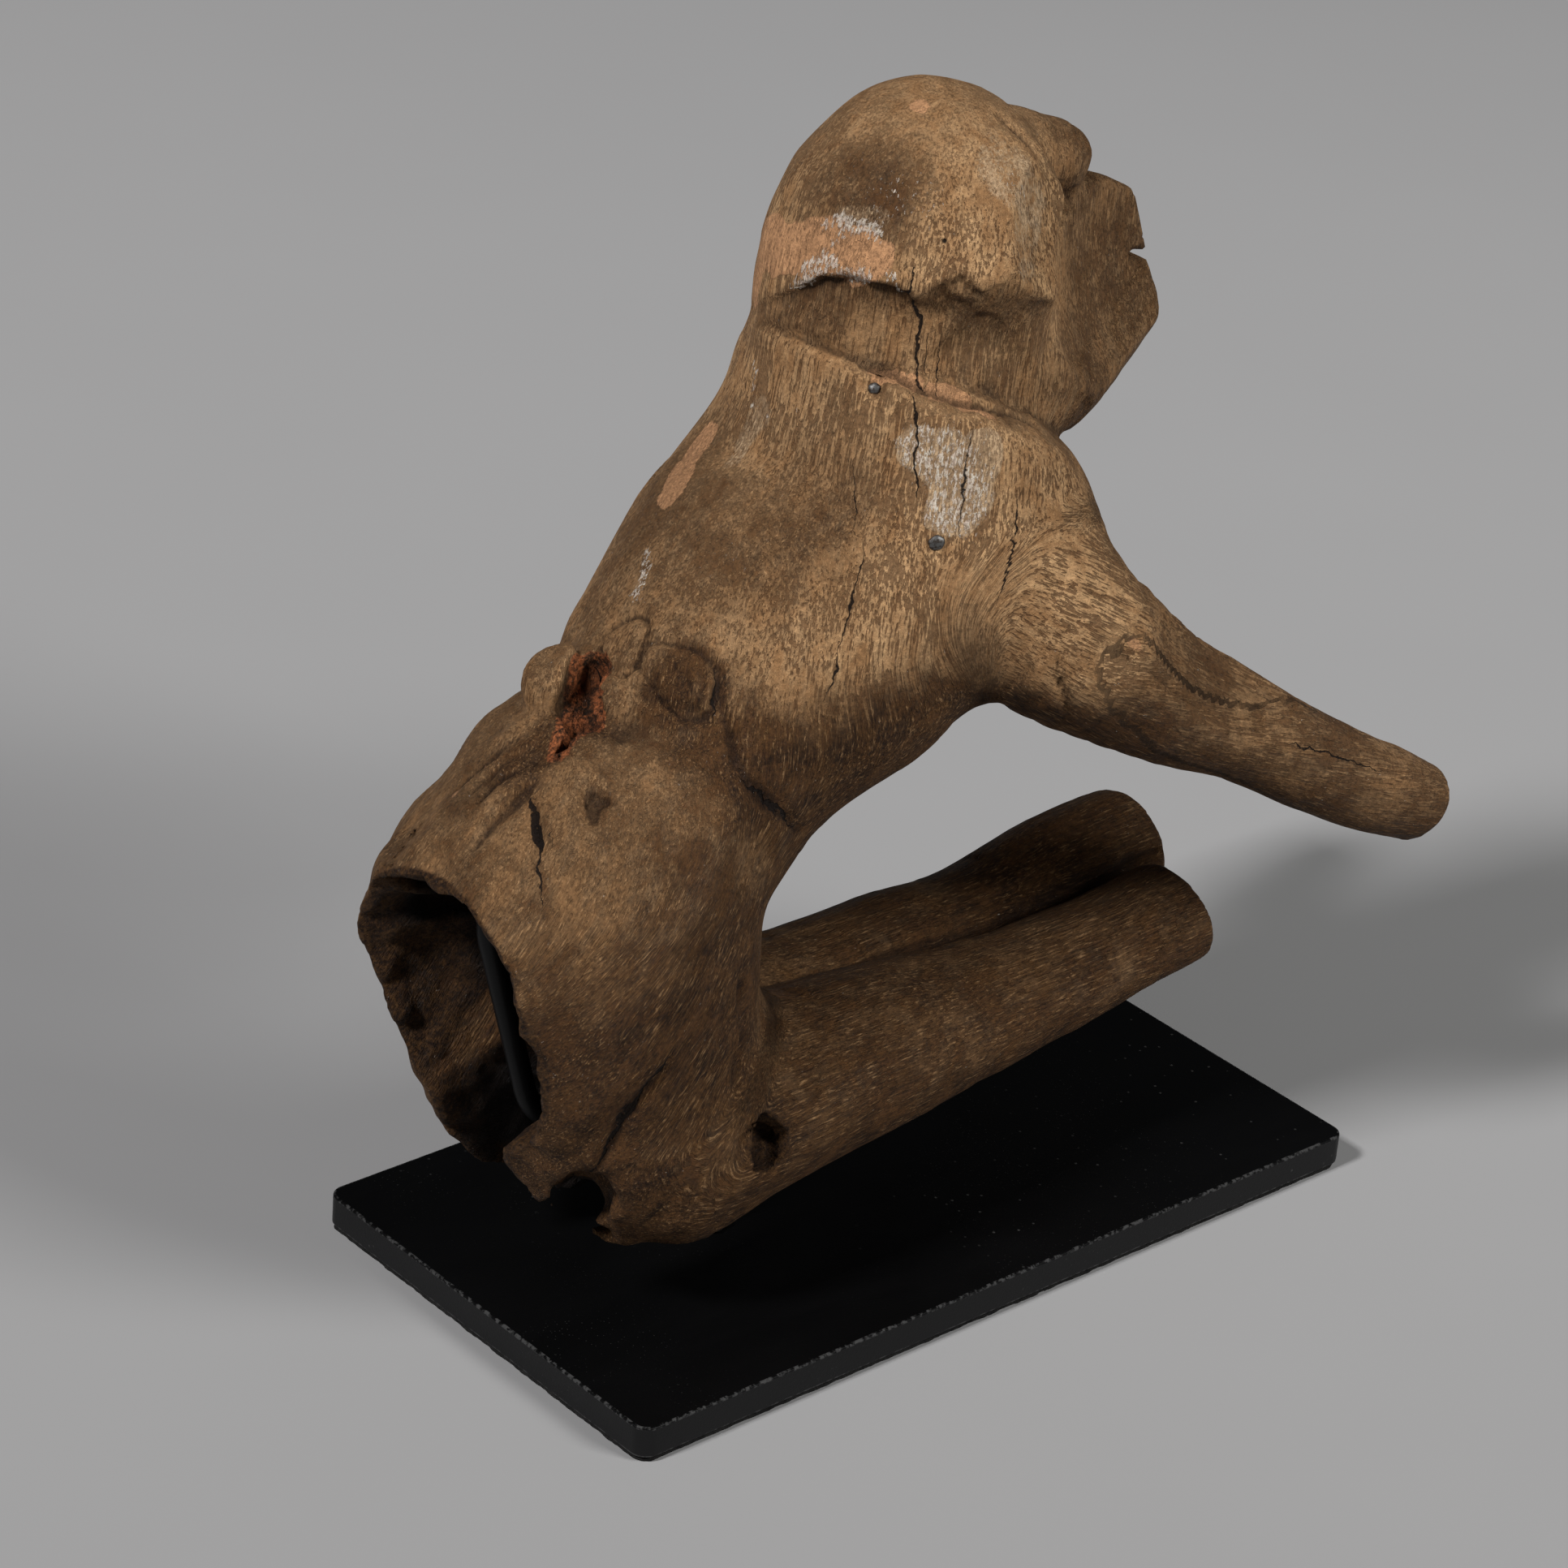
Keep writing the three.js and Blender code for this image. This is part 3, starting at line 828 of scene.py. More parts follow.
@dataclass(frozen=True)
class OldWood:
    """Dry weathered hardwood: tan and fibrous above, dark and greasy toward the hips and legs."""

    tan: Colour = (0.56, 0.345, 0.172)
    brown: Colour = (0.275, 0.146, 0.062)
    dash: Colour = (0.075, 0.031, 0.0105)
    patina: Colour = (0.112, 0.052, 0.0165)
    # Near black, for the sooty patina and for painted shade.
    soot_and_shade: Colour = (0.0155, 0.0062, 0.0022)
    fresh: Colour = (0.60, 0.315, 0.155)
    crumb: Colour = (0.34, 0.105, 0.036)
    rubbed_and_sheen: Colour = (0.50, 0.345, 0.205)
    # Colour of the painted glints.
    painted_glint: Colour = (0.80, 0.70, 0.60)
    dashes: Noise = Noise(2.9, 2.0, 0.6, 0.2, 0.075)
    fibre: Noise = Noise(3.4, 4.0, 0.68, 0.25, 0.10)
    streak: Noise = Noise(0.42, 4.0, 0.6, 0.6, 0.08)
    bright: Noise = Noise(2.2, 3.0, 0.7, 0.0, 0.35)
    cloud: Noise = Noise(70.0, 4.0, 0.65, 0.3)
    blotch: Noise = Noise(230.0, 4.0, 0.68, 0.5)
    grit: Noise = Noise(1500.0, 3.0, 0.75)
    sway: Noise = Noise(0.42, 3.0, 0.6, 0.0, 0.8)
    swell: Noise = Noise(0.7, 2.0, 0.55, 0.0, 0.6)
    relief: float = 0.00085

    def material(self, holes: Sequence[Hole]) -> bpy.types.Material:
        """Builds the wood from layers that are stored on the figure and from noise drawn out along the grain:
        tan and brown wood with dark patina over it, where the tone also carries painted shade and painted
        light, dark dashes in the grain, worn and chipped patches, broken wood with painted shade deep in the
        hollow, painted shade in the creases, painted glints, and last the cracks and insect holes in painted
        shade.

        Args:
            holes: insect holes, each a place and a radius in millimetres.

        Returns:
            The material.
        """
        s = Shader("old_wood")
        flow, place = s.stored("flow", "Vector"), s.place()
        dashes, fibre, streak, bright = (
            s.noise(flow, kind) for kind in (self.dashes, self.fibre, self.streak, self.bright)
        )
        cloud, blotch, grit = (s.noise(place, kind) for kind in (self.cloud, self.blotch, self.grit))
        mottle = cloud * 0.45 + blotch * 0.55

        # The stored tone darkens toward the patina; besides patina and stains it carries painted shade on
        # faces that look down and in some patches, and painted light that pales the upper body's flanks and
        # other patches.
        tone = (s.stored("tone") + (mottle - 0.5) * 1.5 + (streak - 0.5) * 0.5).step(0.12, 0.88)
        worn = (streak * 0.4 + mottle * 0.6).step(0.4, 0.62)
        dark = s.mix((fibre * 0.5 + blotch * 0.5).step(0.36, 0.64), self.soot_and_shade, self.patina)
        colour = s.mix(tone, s.mix(worn, self.brown, self.tan), dark)

        dash = (dashes + (cloud - 0.5) * 0.7 + (blotch - 0.5) * 0.45).step(0.50, 0.58)
        ends = s.stored("ends")
        colour = s.mix(dash * (0.72 - tone * 0.35) * (1.0 - ends * 0.6), colour, self.dash)
        pitted = (blotch * 0.6 + grit * 0.4).step(0.52, 0.62)
        colour = s.mix(pitted * ends * 0.5, colour, self.dash)
        colour = s.mix(fibre.step(0.53, 0.7) * (1.0 - dash) * 0.38, colour, self.tan)

        polish = (s.stored("polish") + (blotch - 0.5) * 0.7 + (fibre - 0.5) * 0.6).step(0.4, 0.6)
        colour = s.mix(polish * (0.85 - dash * 0.45), colour, self.rubbed_and_sheen)
        chip = (s.stored("chip") + (blotch - 0.5) * 0.8 + (fibre - 0.5) * 0.7).step(0.44, 0.56)
        split = s.mix(worn, times(self.fresh, 0.72), self.fresh)
        colour = s.mix(chip * (0.9 - dash * 0.3), colour, split)
        colour = self.broken(s, colour, blotch, grit)

        gap = self.cracks(s, flow).most(self.insect_holes(s, place, holes))
        # Painted shade: the crease layer darkens hollows, creases and the swellings' grooves toward near
        # black.
        crease_shade = (s.stored("crease") + (mottle - 0.5) * 0.3 + (fibre - 0.5) * 0.3).step(0.08, 0.55)
        colour = s.mix(crease_shade * 0.68, colour, self.soot_and_shade)
        # Painted glints: tiny pale flecks in the colour stand in for sparkling highlights, most on the stored
        # glint patches.
        shown = s.stored("painted_glint") * 0.24 + polish * 0.06 + (cloud - 0.5) * 0.15
        painted_glints = (bright + shown).step(0.70, 0.78)
        colour = s.mix(painted_glints * 0.65, colour, self.painted_glint)
        speckle = s.ramp(grit, [(0.28, (0.22, 0.22, 0.22)), (0.72, (0.82, 0.82, 0.82))])
        colour = s.mix(0.7, colour, speckle, "OVERLAY")
        # Painted shade: the cracks and insect holes are filled with near black.
        colour = s.mix(gap * 0.97, colour, times(self.soot_and_shade, 0.4))

        height = (fibre * 0.35 + streak * 0.3 + grit * 0.3 + blotch * 0.35 - dash * 0.22 - gap * 1.4
                  + painted_glints * 0.15 + (polish + chip) * 0.06)
        gloss = (polish * 0.6 + tone * 0.45 * streak.step(0.42, 0.62)).most(painted_glints)
        rough = 0.84 - gloss * 0.42 + (fibre - 0.5) * 0.3
        return s.finish(colour, rough, s.bump(height, self.relief), specular=0.22)

    def broken(self, s: Shader, sound: Socket, blotch: Socket, grit: Socket) -> Socket:
        """Broken and rotten wood laid over the sound colour: brown and gritty at the hollow's mouth, painted
        shade deeper in, and orange crumbs in the pits of the waist.

        Args:
            s: the material under construction.
            sound: colour of the sound wood.
            blotch: coarse noise.
            grit: fine noise.

        Returns:
            The colour with the broken wood on it.
        """
        rough = (blotch * 0.45 + grit * 0.55).step(0.40, 0.62)
        mouth = s.mix(rough, times(self.soot_and_shade, 1.1), times(self.patina, 0.6))
        torn = s.mix((s.stored("inner") + (blotch - 0.5) * 0.6).step(0.3, 0.7), sound, mouth)
        # Painted shade: the stored depth darkens the wood deep in the hollow and blackens its deep holes.
        torn = s.mix(s.stored("depth"), torn, times(self.soot_and_shade, 0.3))
        punk = (s.stored("rot") + (blotch - 0.5) * 0.9).step(0.35, 0.65)
        return s.mix(punk * 0.9, torn, s.mix(rough, self.soot_and_shade, self.crumb))

    def cracks(self, s: Shader, flow: Socket) -> Socket:
        """The stored cracks: inside their half width, round a middle line that wanders a little.

        Args:
            s: the material under construction.
            flow: coordinates along the grain.

        Returns:
            One in a crack, nought beside it.
        """
        side = (s.stored("crack_side") + (s.noise(flow, self.sway) - 0.5) * 2.2).size()
        width = s.stored("crack_width")
        swollen = width * (s.noise(flow, self.swell) * 1.15 + 0.1)
        return (swollen - side).step(-0.05, 0.06) * width.step(0.02, 0.06)

    @staticmethod
    def insect_holes(s: Shader, place: Socket, holes: Sequence[Hole]) -> Socket:
        """Round holes, by distance from their middles.

        Args:
            s: the material under construction.
            place: the point's place, in metres.
            holes: each a place and a radius in millimetres.

        Returns:
            One in a hole, nought beside it.
        """
        found = [
            s.measured("DISTANCE", place, times(centre, MM)).step(MM * radius * 1.15, MM * radius * 0.75)
            for centre, radius in holes
        ]
        return functools.reduce(Socket.most, found)


class PaintedSteel(Enum):
    """Black finishes of the mount."""

    PLATE = "plate"
    ROD = "rod"

    def material(self) -> bpy.types.Material:
        """Satin black paint with fine grain and, on the plate, walls painted paler as painted light, dust,
        and a painted highlight along the edges.
        """
        s = Shader(f"black_{self.value}")
        place = s.place()
        grain = s.noise(place, Noise(2600.0, 2.0, 0.6))
        smear = s.noise(s.stretched(place, (0.6, 1.6, 1.0)), Noise(38.0, 4.0, 0.6, 0.6))
        if self is PaintedSteel.ROD:
            colour = s.mix(smear, (0.002, 0.002, 0.0021), (0.004, 0.004, 0.0042))
            rough = 0.3 + smear * 0.15 + grain * 0.05
            return s.finish(colour, rough, s.bump(grain, 0.00004, 0.5), specular=0.12)
        dust = s.cells(place, 430.0).step(0.12, 0.05) * s.noise(place, Noise(24.0)).step(0.5, 0.72)
        fine = s.cells(place, 1500.0).step(0.15, 0.07) * s.noise(place, Noise(70.0)).step(0.45, 0.75)
        # Painted highlight: a pale line along the bevelled edges, broken up by noise.
        rubbed_and_sheen = s.stored("edge").step(0.35, 1.0) * s.noise(place, Noise(1300.0)).step(0.44, 0.62)
        # Painted light: the walls get a paler copy of the black paint than the top.
        wall = s.mix(smear, (0.009, 0.009, 0.0092), (0.014, 0.014, 0.0145))
        colour = s.mix(smear, (0.0012, 0.0012, 0.0013), (0.0038, 0.0038, 0.004))
        colour = s.mix(s.stored("wall"), colour, wall)
        colour = s.mix((dust * 0.3).most(fine * 0.18), colour, (0.16, 0.155, 0.15))
        colour = s.mix(rubbed_and_sheen * 0.4, colour, (0.12, 0.12, 0.12))
        rough = (0.3 + smear * 0.14 + grain * 0.08).most(dust * 0.8)
        return s.finish(colour, rough, s.bump(grain + dust * 1.2, 0.00005, 0.5), specular=0.1)


@dataclass(frozen=True)
class BlackFelt:
    """Thin matt black felt with loose fibres at its edge."""

    deep: Colour = (0.004, 0.004, 0.004)
    fuzz: Colour = (0.03, 0.029, 0.028)

    def material(self) -> bpy.types.Material:
        """Builds the felt from two sizes of tangled noise."""
        s = Shader("black_felt")
        place = s.place()
        tangle = s.noise(place, Noise(2400.0, 4.0, 0.7, 1.5))
        lumps = s.noise(place, Noise(420.0))
        colour = s.mix((tangle * 0.6 + lumps * 0.4).step(0.3, 0.75), self.deep, self.fuzz)
        return s.finish(colour, 0.97, s.bump(tangle + lumps * 0.5, 0.0003), specular=0.2)


@dataclass(frozen=True)
class NailIron:
    """Dark worn iron of the two old nail heads."""

    bare: Colour = (0.13, 0.128, 0.125)
    rusty: Colour = (0.045, 0.032, 0.024)

    def material(self) -> bpy.types.Material:
        """Builds the iron: bare and bright, rusty in patches."""
        s = Shader("nail_iron")
        place = s.place()
        patch = s.noise(place, Noise(1500.0, 3.0, 0.6))
        colour = s.mix(patch.step(0.42, 0.62), self.bare, self.rusty)
        rough = 0.32 + patch * 0.4
        return s.finish(colour, rough, s.bump(patch, 0.00008), metallic=0.85)


@dataclass(frozen=True)
class StudioFloor:
    """Plain pale grey floor paper, with painted light that makes it paler toward one side."""

    grey: Colour = (0.385, 0.385, 0.388)
    paler: Spot = (0.8, 0.6, 0.0)

    def material(self) -> bpy.types.Material:
        """Builds the floor with painted light: brighter along the paler direction, with a slight unevenness.
        """
        s = Shader("studio_floor")
        place = s.place()
        away = s.measured("DOT_PRODUCT", place, self.paler)
        # Painted light: the colour goes from darker to paler along the paler direction.
        soft = away.step(-0.4, 0.6) * 0.9 + s.noise(place, Noise(9.0)) * 0.1
        colour = s.mix(soft, times(self.grey, 0.78), times(self.grey, 1.3))
        return s.finish(colour, 0.9, specular=0.2)


# The carved figure


def mirrored(stations: tuple[Station, ...]) -> tuple[Station, ...]:
    """The stations on the other side of the figure's middle plane."""
    return tuple(((x, -y, z), side, depth) for (x, y, z), side, depth in stations)


@dataclass
class CarvedFigure:
    """The wood figure, in millimetres: forms joined and cut as fields, then meshed, worn and finished."""

    pitch: float = 0.9
    low: Spot = (-93, -48, 8)
    high: Spot = (84, 48, 182)
    trunk: Stacked = Stacked((
        (56, -62, 36, 16, 16, 18, 18),
        (67, -54, 40, 19, 19, 20, 20),
        (77.5, -44, 41, 19.5, 19, 21, 20),
        (88.5, -35.5, 46, 22.3, 19.5, 25, 21),
        (100, -20, 46, 27.8, 24.7, 29.5, 25),
        (112.5, -9, 37, 25.8, 27, 28, 27),
        (121.5, -4.5, 30, 26.3, 29, 26, 27),
        (128, -2.5, 27, 26.5, 27.8, 25.5, 26.5),
        (133.2, -2, 27, 26, 23, 23, 25),
        (136.5, -1.5, 27, 21.5, 16, 18, 20.5),
    ))
    head: Stacked = Stacked((
        (124, 0, 0, 14, 14, 14, 14),
        (131, -1, 0, 20, 17, 19, 17.5),
        (137, -1, 0, 23.2, 17.5, 22.5, 18.3),
        (142, -1, 0, 24.4, 17, 24.3, 18.6),
        (147, -0.5, 0, 25, 16, 24.3, 18.8),
        (150.8, 0, 0, 25.2, 15, 24.2, 20),
        (153.6, 0, 0, 25, 14.8, 24, 21.6),
        (156.5, 0, 0, 24.6, 14.8, 23.2, 22.6),
        (160.5, 0, 0, 23.4, 14.5, 21.6, 21.3),
        (165, -0.5, 0, 21.3, 13.5, 18.9, 18.8),
        (169.5, -1, 0, 17.6, 12, 15.2, 15.3),
        (173.3, -2, 0, 12.2, 10.5, 11, 11),
        (176, -2.5, 0, 6.5, 6, 6.5, 6),
        (177.6, -2.5, 0, 1, 1, 1, 1),
    ), 70)
    hips: Stacked = Stacked((
        (16, -44, 0, 6, 10, 12, 12),
        (20, -45, 0, 12, 15, 17, 17),
        (31, -49.5, 0, 20.8, 22, 21.7, 21.5),
        (43, -54, 0, 24.8, 26, 23.6, 23.2),
        (52, -56.5, 0, 28.5, 28.5, 24.7, 24),
        (62, -58, 0, 31, 29, 25.7, 24.5),
        (72, -56.5, 0, 29.3, 25.5, 25.2, 24.2),
        (76, -55.5, 0, 28.2, 22.5, 24.8, 24),
        (81, -53.5, 0, 24.6, 19, 23, 23),
        (88, -49.5, 0, 20.5, 12, 21.5, 21.5),
        (95, -45, 0, 15, 8, 17, 17),
    ))
    jaw: Sweep = Sweep((
        ((4, 0, 137), 17, 15),
        ((14, 0, 138.5), 15.5, 17.5),
        ((23, 0, 141.7), 12.4, 17.5),
        ((29.5, 0, 142.5), 10, 15.4),
        ((34.5, 0, 142.6), 8, 11.4),
        ((38, 0, 143), 6, 6.6),
        ((39.2, 0, 143.2), 4.5, 4.5),
    ), 1.5)
    nose: Sweep = Sweep((
        ((0, 0, 166), 7, 6.5),
        ((8, 0, 165.5), 7, 6.5),
        ((14, 0, 164.3), 6.3, 5.6),
        ((20, 0, 162.8), 5.6, 5),
        ((24.6, 0, 161.3), 4.4, 4),
    ), 2.5, 12)
    right_arm: Sweep = Sweep((
        ((-16, -8, 112), 15, 15),
        ((-1, -17.5, 110.6), 14, 15),
        ((8, -25, 102.2), 11.5, 12.3),
        ((20, -29, 93.5), 8.8, 9.8),
        ((36, -31.5, 84), 7.6, 8.2),
        ((54, -33.5, 73.5), 6.8, 7.3),
        ((68, -35, 65.5), 6.4, 6.7),
        ((76.5, -35.6, 61), 5.6, 6),
    ), 0.9)
    right_leg: Sweep = Sweep((
        ((-56, -9, 35), 12, 14),
        ((-46, -10, 32), 13.5, 15.5),
        ((-30, -10, 33.3), 14.5, 13.8),
        ((-10, -10, 33.2), 12.8, 12.2),
        ((14, -9.4, 33.2), 10.8, 9.7),
        ((26, -9.3, 33.8), 10, 8.8),
        ((38, -9.2, 34.7), 9.6, 8.1),
        ((49, -9.2, 35.8), 9.2, 7.5),
        ((55, -9.2, 36.4), 8.8, 7.2),
    ), 0.7)
    left_leg: Sweep = Sweep((
        ((-56, 9, 35), 12, 14),
        ((-46, 10, 32), 13.5, 15.5),
        ((-30, 10, 32), 14.5, 14),
        ((-10, 10, 30), 13, 11.5),
        ((14, 10.5, 31.2), 11.5, 10.6),
        ((27, 10.4, 30.7), 11, 10.2),
        ((38, 10.3, 32.6), 10.5, 10.2),
        ((47, 10.3, 35.1), 10.3, 10),
        ((56, 10.3, 36), 10.2, 10.2),
        ((63.3, 10.3, 36.4), 9.6, 9.6),
    ), 0.9)
    hollow: Sweep = Sweep((
        ((-98, 0.8, 55), 21.6, 28),
        ((-89, 0.1, 55.2), 20.0, 25),
        ((-81, -0.9, 56), 18.2, 22.4),
        ((-72, -1, 58), 15.4, 17.5),
        ((-64, 0.5, 61), 10.5, 12.5),
        ((-57, 2, 63), 6.5, 7.5),
    ), 4.0, 20)
    channel: Sweep = Sweep((
        ((-86, 1, 30), 8.5, 24),
        ((-70, 1, 28), 9, 22),
        ((-50, 0, 20), 9, 20),
        ((-32, -0.5, 18), 7, 19),
        ((-24, -0.5, 17), 4.5, 14),
    ), 3.0, 16)
    gap: Sweep = Sweep((
        ((-75.3, -26, 39.4), 4.7, 4.8),
        ((-66.7, -16, 31), 4.7, 4.9),
        ((-58.2, -6, 22.6), 4.4, 4.6),
        ((-51.4, 2, 16.3), 3, 3),
    ), 1.0, 10)
    notch: Sweep = Sweep((
        ((-76.5, -29.4, 34), 5.6, 5.2),
        ((-67.9, -19.4, 25.6), 5.4, 5),
        ((-60, -10, 18), 5, 4.6),
    ), 1.0, 10)
    nape: tuple[tuple[float, float, float, float], ...] = (
        (-50, 145, 141, 0), (-21, 146.6, 143.2, 0.15), (-9, 149.6, 144.6, 0.45), (0, 152.1, 145.4, 0.8),
        (7, 154.7, 146, 1), (17, 156, 145.4, 1), (27, 156.3, 144.5, 1), (35, 156, 143.6, 0.9),
        (41, 153.6, 142.9, 0.7), (48, 156.8, 142.2, 0.65), (55, 158, 141, 0.6), (62, 156.2, 139.9, 0.55),
        (74, 157, 138, 0.55), (82, 155.2, 136.7, 0.5), (98, 152, 135, 0.4), (112, 149.2, 133.5, 0.35),
        (136, 145.4, 131, 0.2), (160, 143, 130, 0),
    )
    rod_hole: Trail = Trail((
        (-28.5, -1.4, 4), (-28.5, -1.4, 26), (-36, -1.1, 32.4), (-55, -0.3, 32.9), (-63, 0.1, 36),
        (-71.7, 0.7, 67), (-67, 0.6, 74.6), (-50, 0, 78),
    ), 2.2, 2.2)
    mouth: Spot = (41, 0, 144.9)
    mouth_facing: Spot = (0.14, 0, 0.99)
    mouth_half: float = 0.7
    mouth_back: float = 35.5
    knobs: tuple[Lump, ...] = (
        Lump((-56.7, 7.6, 98.8), (3.6, 3.8, 6.4), 20),
        Lump((-45.6, 1.6, 101), (4.2, 4.4, 5.2), 35),
        Lump((-43.4, -5.3, 101), (4, 7.2, 4.2), 40),
        Lump((-38.8, -20.6, 34.8), (5.2, 3.6, 5.2), 0),
        Lump((-68.4, -1.2, 87.6), (2.6, 2.2, 2.8), 30),
    )
    rot_pits: tuple[Trail, ...] = (
        Trail(((-54.4, 3.4, 103.5), (-53.4, 3.6, 98.5), (-57.2, 0.6, 95.2), (-62.4, -2.2, 92)), 2.8, 1.5),
        Trail(((-52, 2.6, 98), (-50.4, 0.4, 97)), 2.4, 1.8),
    )
    knot_hole: Trail = Trail(((-40.7, -24.9, 34.9), (-39.2, -22.4, 34.8), (-38.4, -21.2, 34.8)), 4.2, 1.8)
    small_pit: Trail = Trail(((-64.4, -10.9, 90.6), (-63.2, -11.4, 90.9)), 1.1, 0.8)
    deep_holes: tuple[Trail, ...] = (
        Trail(((-78, 8, 73), (-71, 8.5, 76), (-64, 7, 77)), 5.5, 4.0),
        Trail(((-75, 12, 66), (-66, 11, 66)), 3.5, 3.0),
    )
    rotten: tuple[tuple[Spot, Spot], ...] = (
        ((-82, 2, 52), (20, 24, 40)),
        ((-57, 2, 99), (14, 12, 12)),
        ((-62, -2, 20), (22, 22, 16)),
    )
    facets: tuple[Facet, ...] = (
        Facet((-0.8, -19, 161.5), (0.35, -0.88, 0.3), 0.9),
        Facet((8, -15.5, 154), (0.75, -0.65, 0.05), 0.5, 40),
        Facet((-14, -15.5, 165.5), (-0.5, -0.6, 0.62), 0.5),
        Facet((-15.4, -23.2, 129.3), (-0.4, -0.9, 0.17), 0.55, 55),
        Facet((40, -37.5, 86), (0.1, -0.8, 0.6), 0.5),
    )
    bosses: tuple[Boss, ...] = (
        Boss((-50.3, 1.0, 105.1), (-0.85, 0.05, 0.51), (3.4, 3.6), 0, 0.35, 0.0, 0.6),
        Boss((-48.6, -8.6, 103.7), (-0.74, -0.5, 0.43), (5.6, 3.6), -32, 0.2, 0.35, 0.6),
        Boss((-39.2, -23.3, 34.8), (-0.7, -0.7, 0.17), (3.9, 3.7), 0, 0.2, 0.15, 0.35),
    )
    nails: tuple[tuple[str, Spot, Spot, float], ...] = (
        ("nail_upper", (-21.5, -12.8, 141.6), (-0.68, -0.57, 0.46), 0.8),
        ("nail_lower", (-17.6, -23.5, 122.2), (-0.47, -0.85, 0.23), 1.1),
    )
    creases: tuple[Trail, ...] = (
        Trail(((-24.3, 7.3, 144.2), (-24.6, -4.8, 145.2), (-20.5, -11.8, 144.1), (-17.3, -16.4, 142.4),
               (-12.5, -19.6, 140.5), (-4.4, -20.9, 137.3), (3, -20.5, 134.5)), 1.0, 0.5),
        Trail(((-46.2, -13, 103.2), (-45.3, -17.1, 95.6), (-44.1, -18.8, 91.1), (-40.8, -20.1, 87.7),
               (-36.6, -20.2, 83), (-33, -19, 80)), 1.0, 0.4),
        Trail(((-51.5, -1.5, 101), (-49.3, -6.5, 99.8), (-46.3, -12, 98.6), (-44, -15.5, 97)), 1.0, 0.5),
        Trail(((-55.4, 4.9, 104.2), (-56.8, 4.9, 97.5), (-59.8, 3.2, 94)), 1.2, 0.6),
        Trail(((-61, 4.4, 92.8), (-66.5, 7, 89), (-71.4, 9.8, 85.2)), 1.1, 0.4),
        Trail(((-62.4, 2, 91.8), (-67.4, 4.4, 88.6), (-72.6, 6, 84.6)), 1.0, 0.4),
        Trail(((-64.2, -0.2, 91), (-68.6, 2, 88.2), (-73, 2.6, 85)), 1.1, 0.4),
        Trail(((-66.5, -2.4, 90.2), (-71.6, -1.8, 86.2), (-76.4, -0.8, 82)), 1.2, 0.5),
        Trail(((-69, -4.4, 88.2), (-72, -9.5, 84.5)), 0.8, 0.5),
        Trail(((-62.5, -9, 91.4), (-64.4, -10.9, 90.6), (-65.6, -13.4, 88.4)), 1.3, 0.6),
        Trail(((-59.4, -24.1, 55.2), (-64.5, -22.1, 47.4), (-65.9, -18.4, 38.2)), 1.1, 0.5),
        Trail(((-43.8, -24, 62), (-41.6, -23, 54), (-44, -23, 46)), 1.6, 0.8),
        Trail(((20.4, -4.6, 158.4), (21.4, -8.3, 154.1), (23.7, -11.4, 146.3), (24, -11.2, 141)), 1.5, 0.6),
        Trail(((0.4, -6.4, 175.5), (3, -10.5, 171), (6.5, -12, 164)), 1.1, 0.4),
        Trail(((-1.8, -32.9, 106.1), (-0.5, -32.6, 100.6), (2.9, -32.1, 94.5)), 0.8, 0.3),
        Trail(((5, -33.5, 106), (14, -36.6, 99.5), (24, -38, 93)), 0.8, 0.3),
        Trail(((-7, 1, 40), (9.1, 0.8, 38.8), (24, 0.6, 38.5), (47, 0.3, 40), (62, 0.2, 41)), 1.6, 1.0),
    )
    cracks: tuple[Trail, ...] = (
        Trail(((-18.3, -14.6, 157.1), (-18.5, -14.7, 153.7), (-16.3, -14.9, 150.7), (-15.9, -14.7, 145.6),
               (-16.2, -15.8, 142.8)), 0.34, 0.12),
        Trail(((-18.7, -18.2, 140.6), (-19.2, -19.4, 134.9), (-19.5, -20.4, 129.8)), 0.34, 0.1),
        Trail(((-13.2, -16.2, 147.9), (-13, -16.2, 143.8), (-14.7, -18.4, 141.4)), 0.13, 0.04),
        Trail(((-12.6, -22.9, 136.6), (-13.7, -24, 129.7), (-14.6, -24.8, 123.1)), 0.12, 0.04),
        Trail(((-6, -26.6, 126.5), (-7.6, -26.9, 119.8), (-10.1, -28, 113.5)), 0.22, 0.04),
        Trail(((-24.8, -13.7, 129.6), (-26.3, -16.3, 124)), 0.12, 0.04),
        Trail(((-26.5, -18.5, 121), (-29.5, -20, 113), (-31.2, -20.4, 108)), 0.16, 0.05),
        Trail(((-31.2, -20.4, 108), (-32.8, -20.6, 103)), 0.2, 0.05),
        Trail(((41.7, -39.2, 82.3), (50.5, -39.6, 78.2), (60, -40, 73.4)), 0.16, 0.04),
        Trail(((-59.4, -24.1, 55.2), (-64.5, -22.1, 47.4), (-65.9, -18.4, 38.2)), 0.5, 0.15),
        Trail(((-69.5, -4.9, 87.8), (-72, -9.5, 84.5)), 0.75, 0.3),
        Trail(((-72, -9.5, 84.5), (-74.2, -13, 80.6)), 0.22, 0.08),
        Trail(((-44.1, -18.8, 91.1), (-40.8, -20.1, 87.7), (-36.6, -20.2, 83)), 0.35, 0.1),
        Trail(((-45.2, -11.6, 103.6), (-46.6, -13.4, 100.6)), 0.3, 0.1),
        Trail(((-50.6, 5.2, 99), (-50.3, 3.4, 96.4)), 0.5, 0.2),
    )
    holes: tuple[Hole, ...] = (
        ((-14.2, -15.9, 162.2), 0.4),
        ((-2.6, -18.6, 143.9), 0.45),
    )
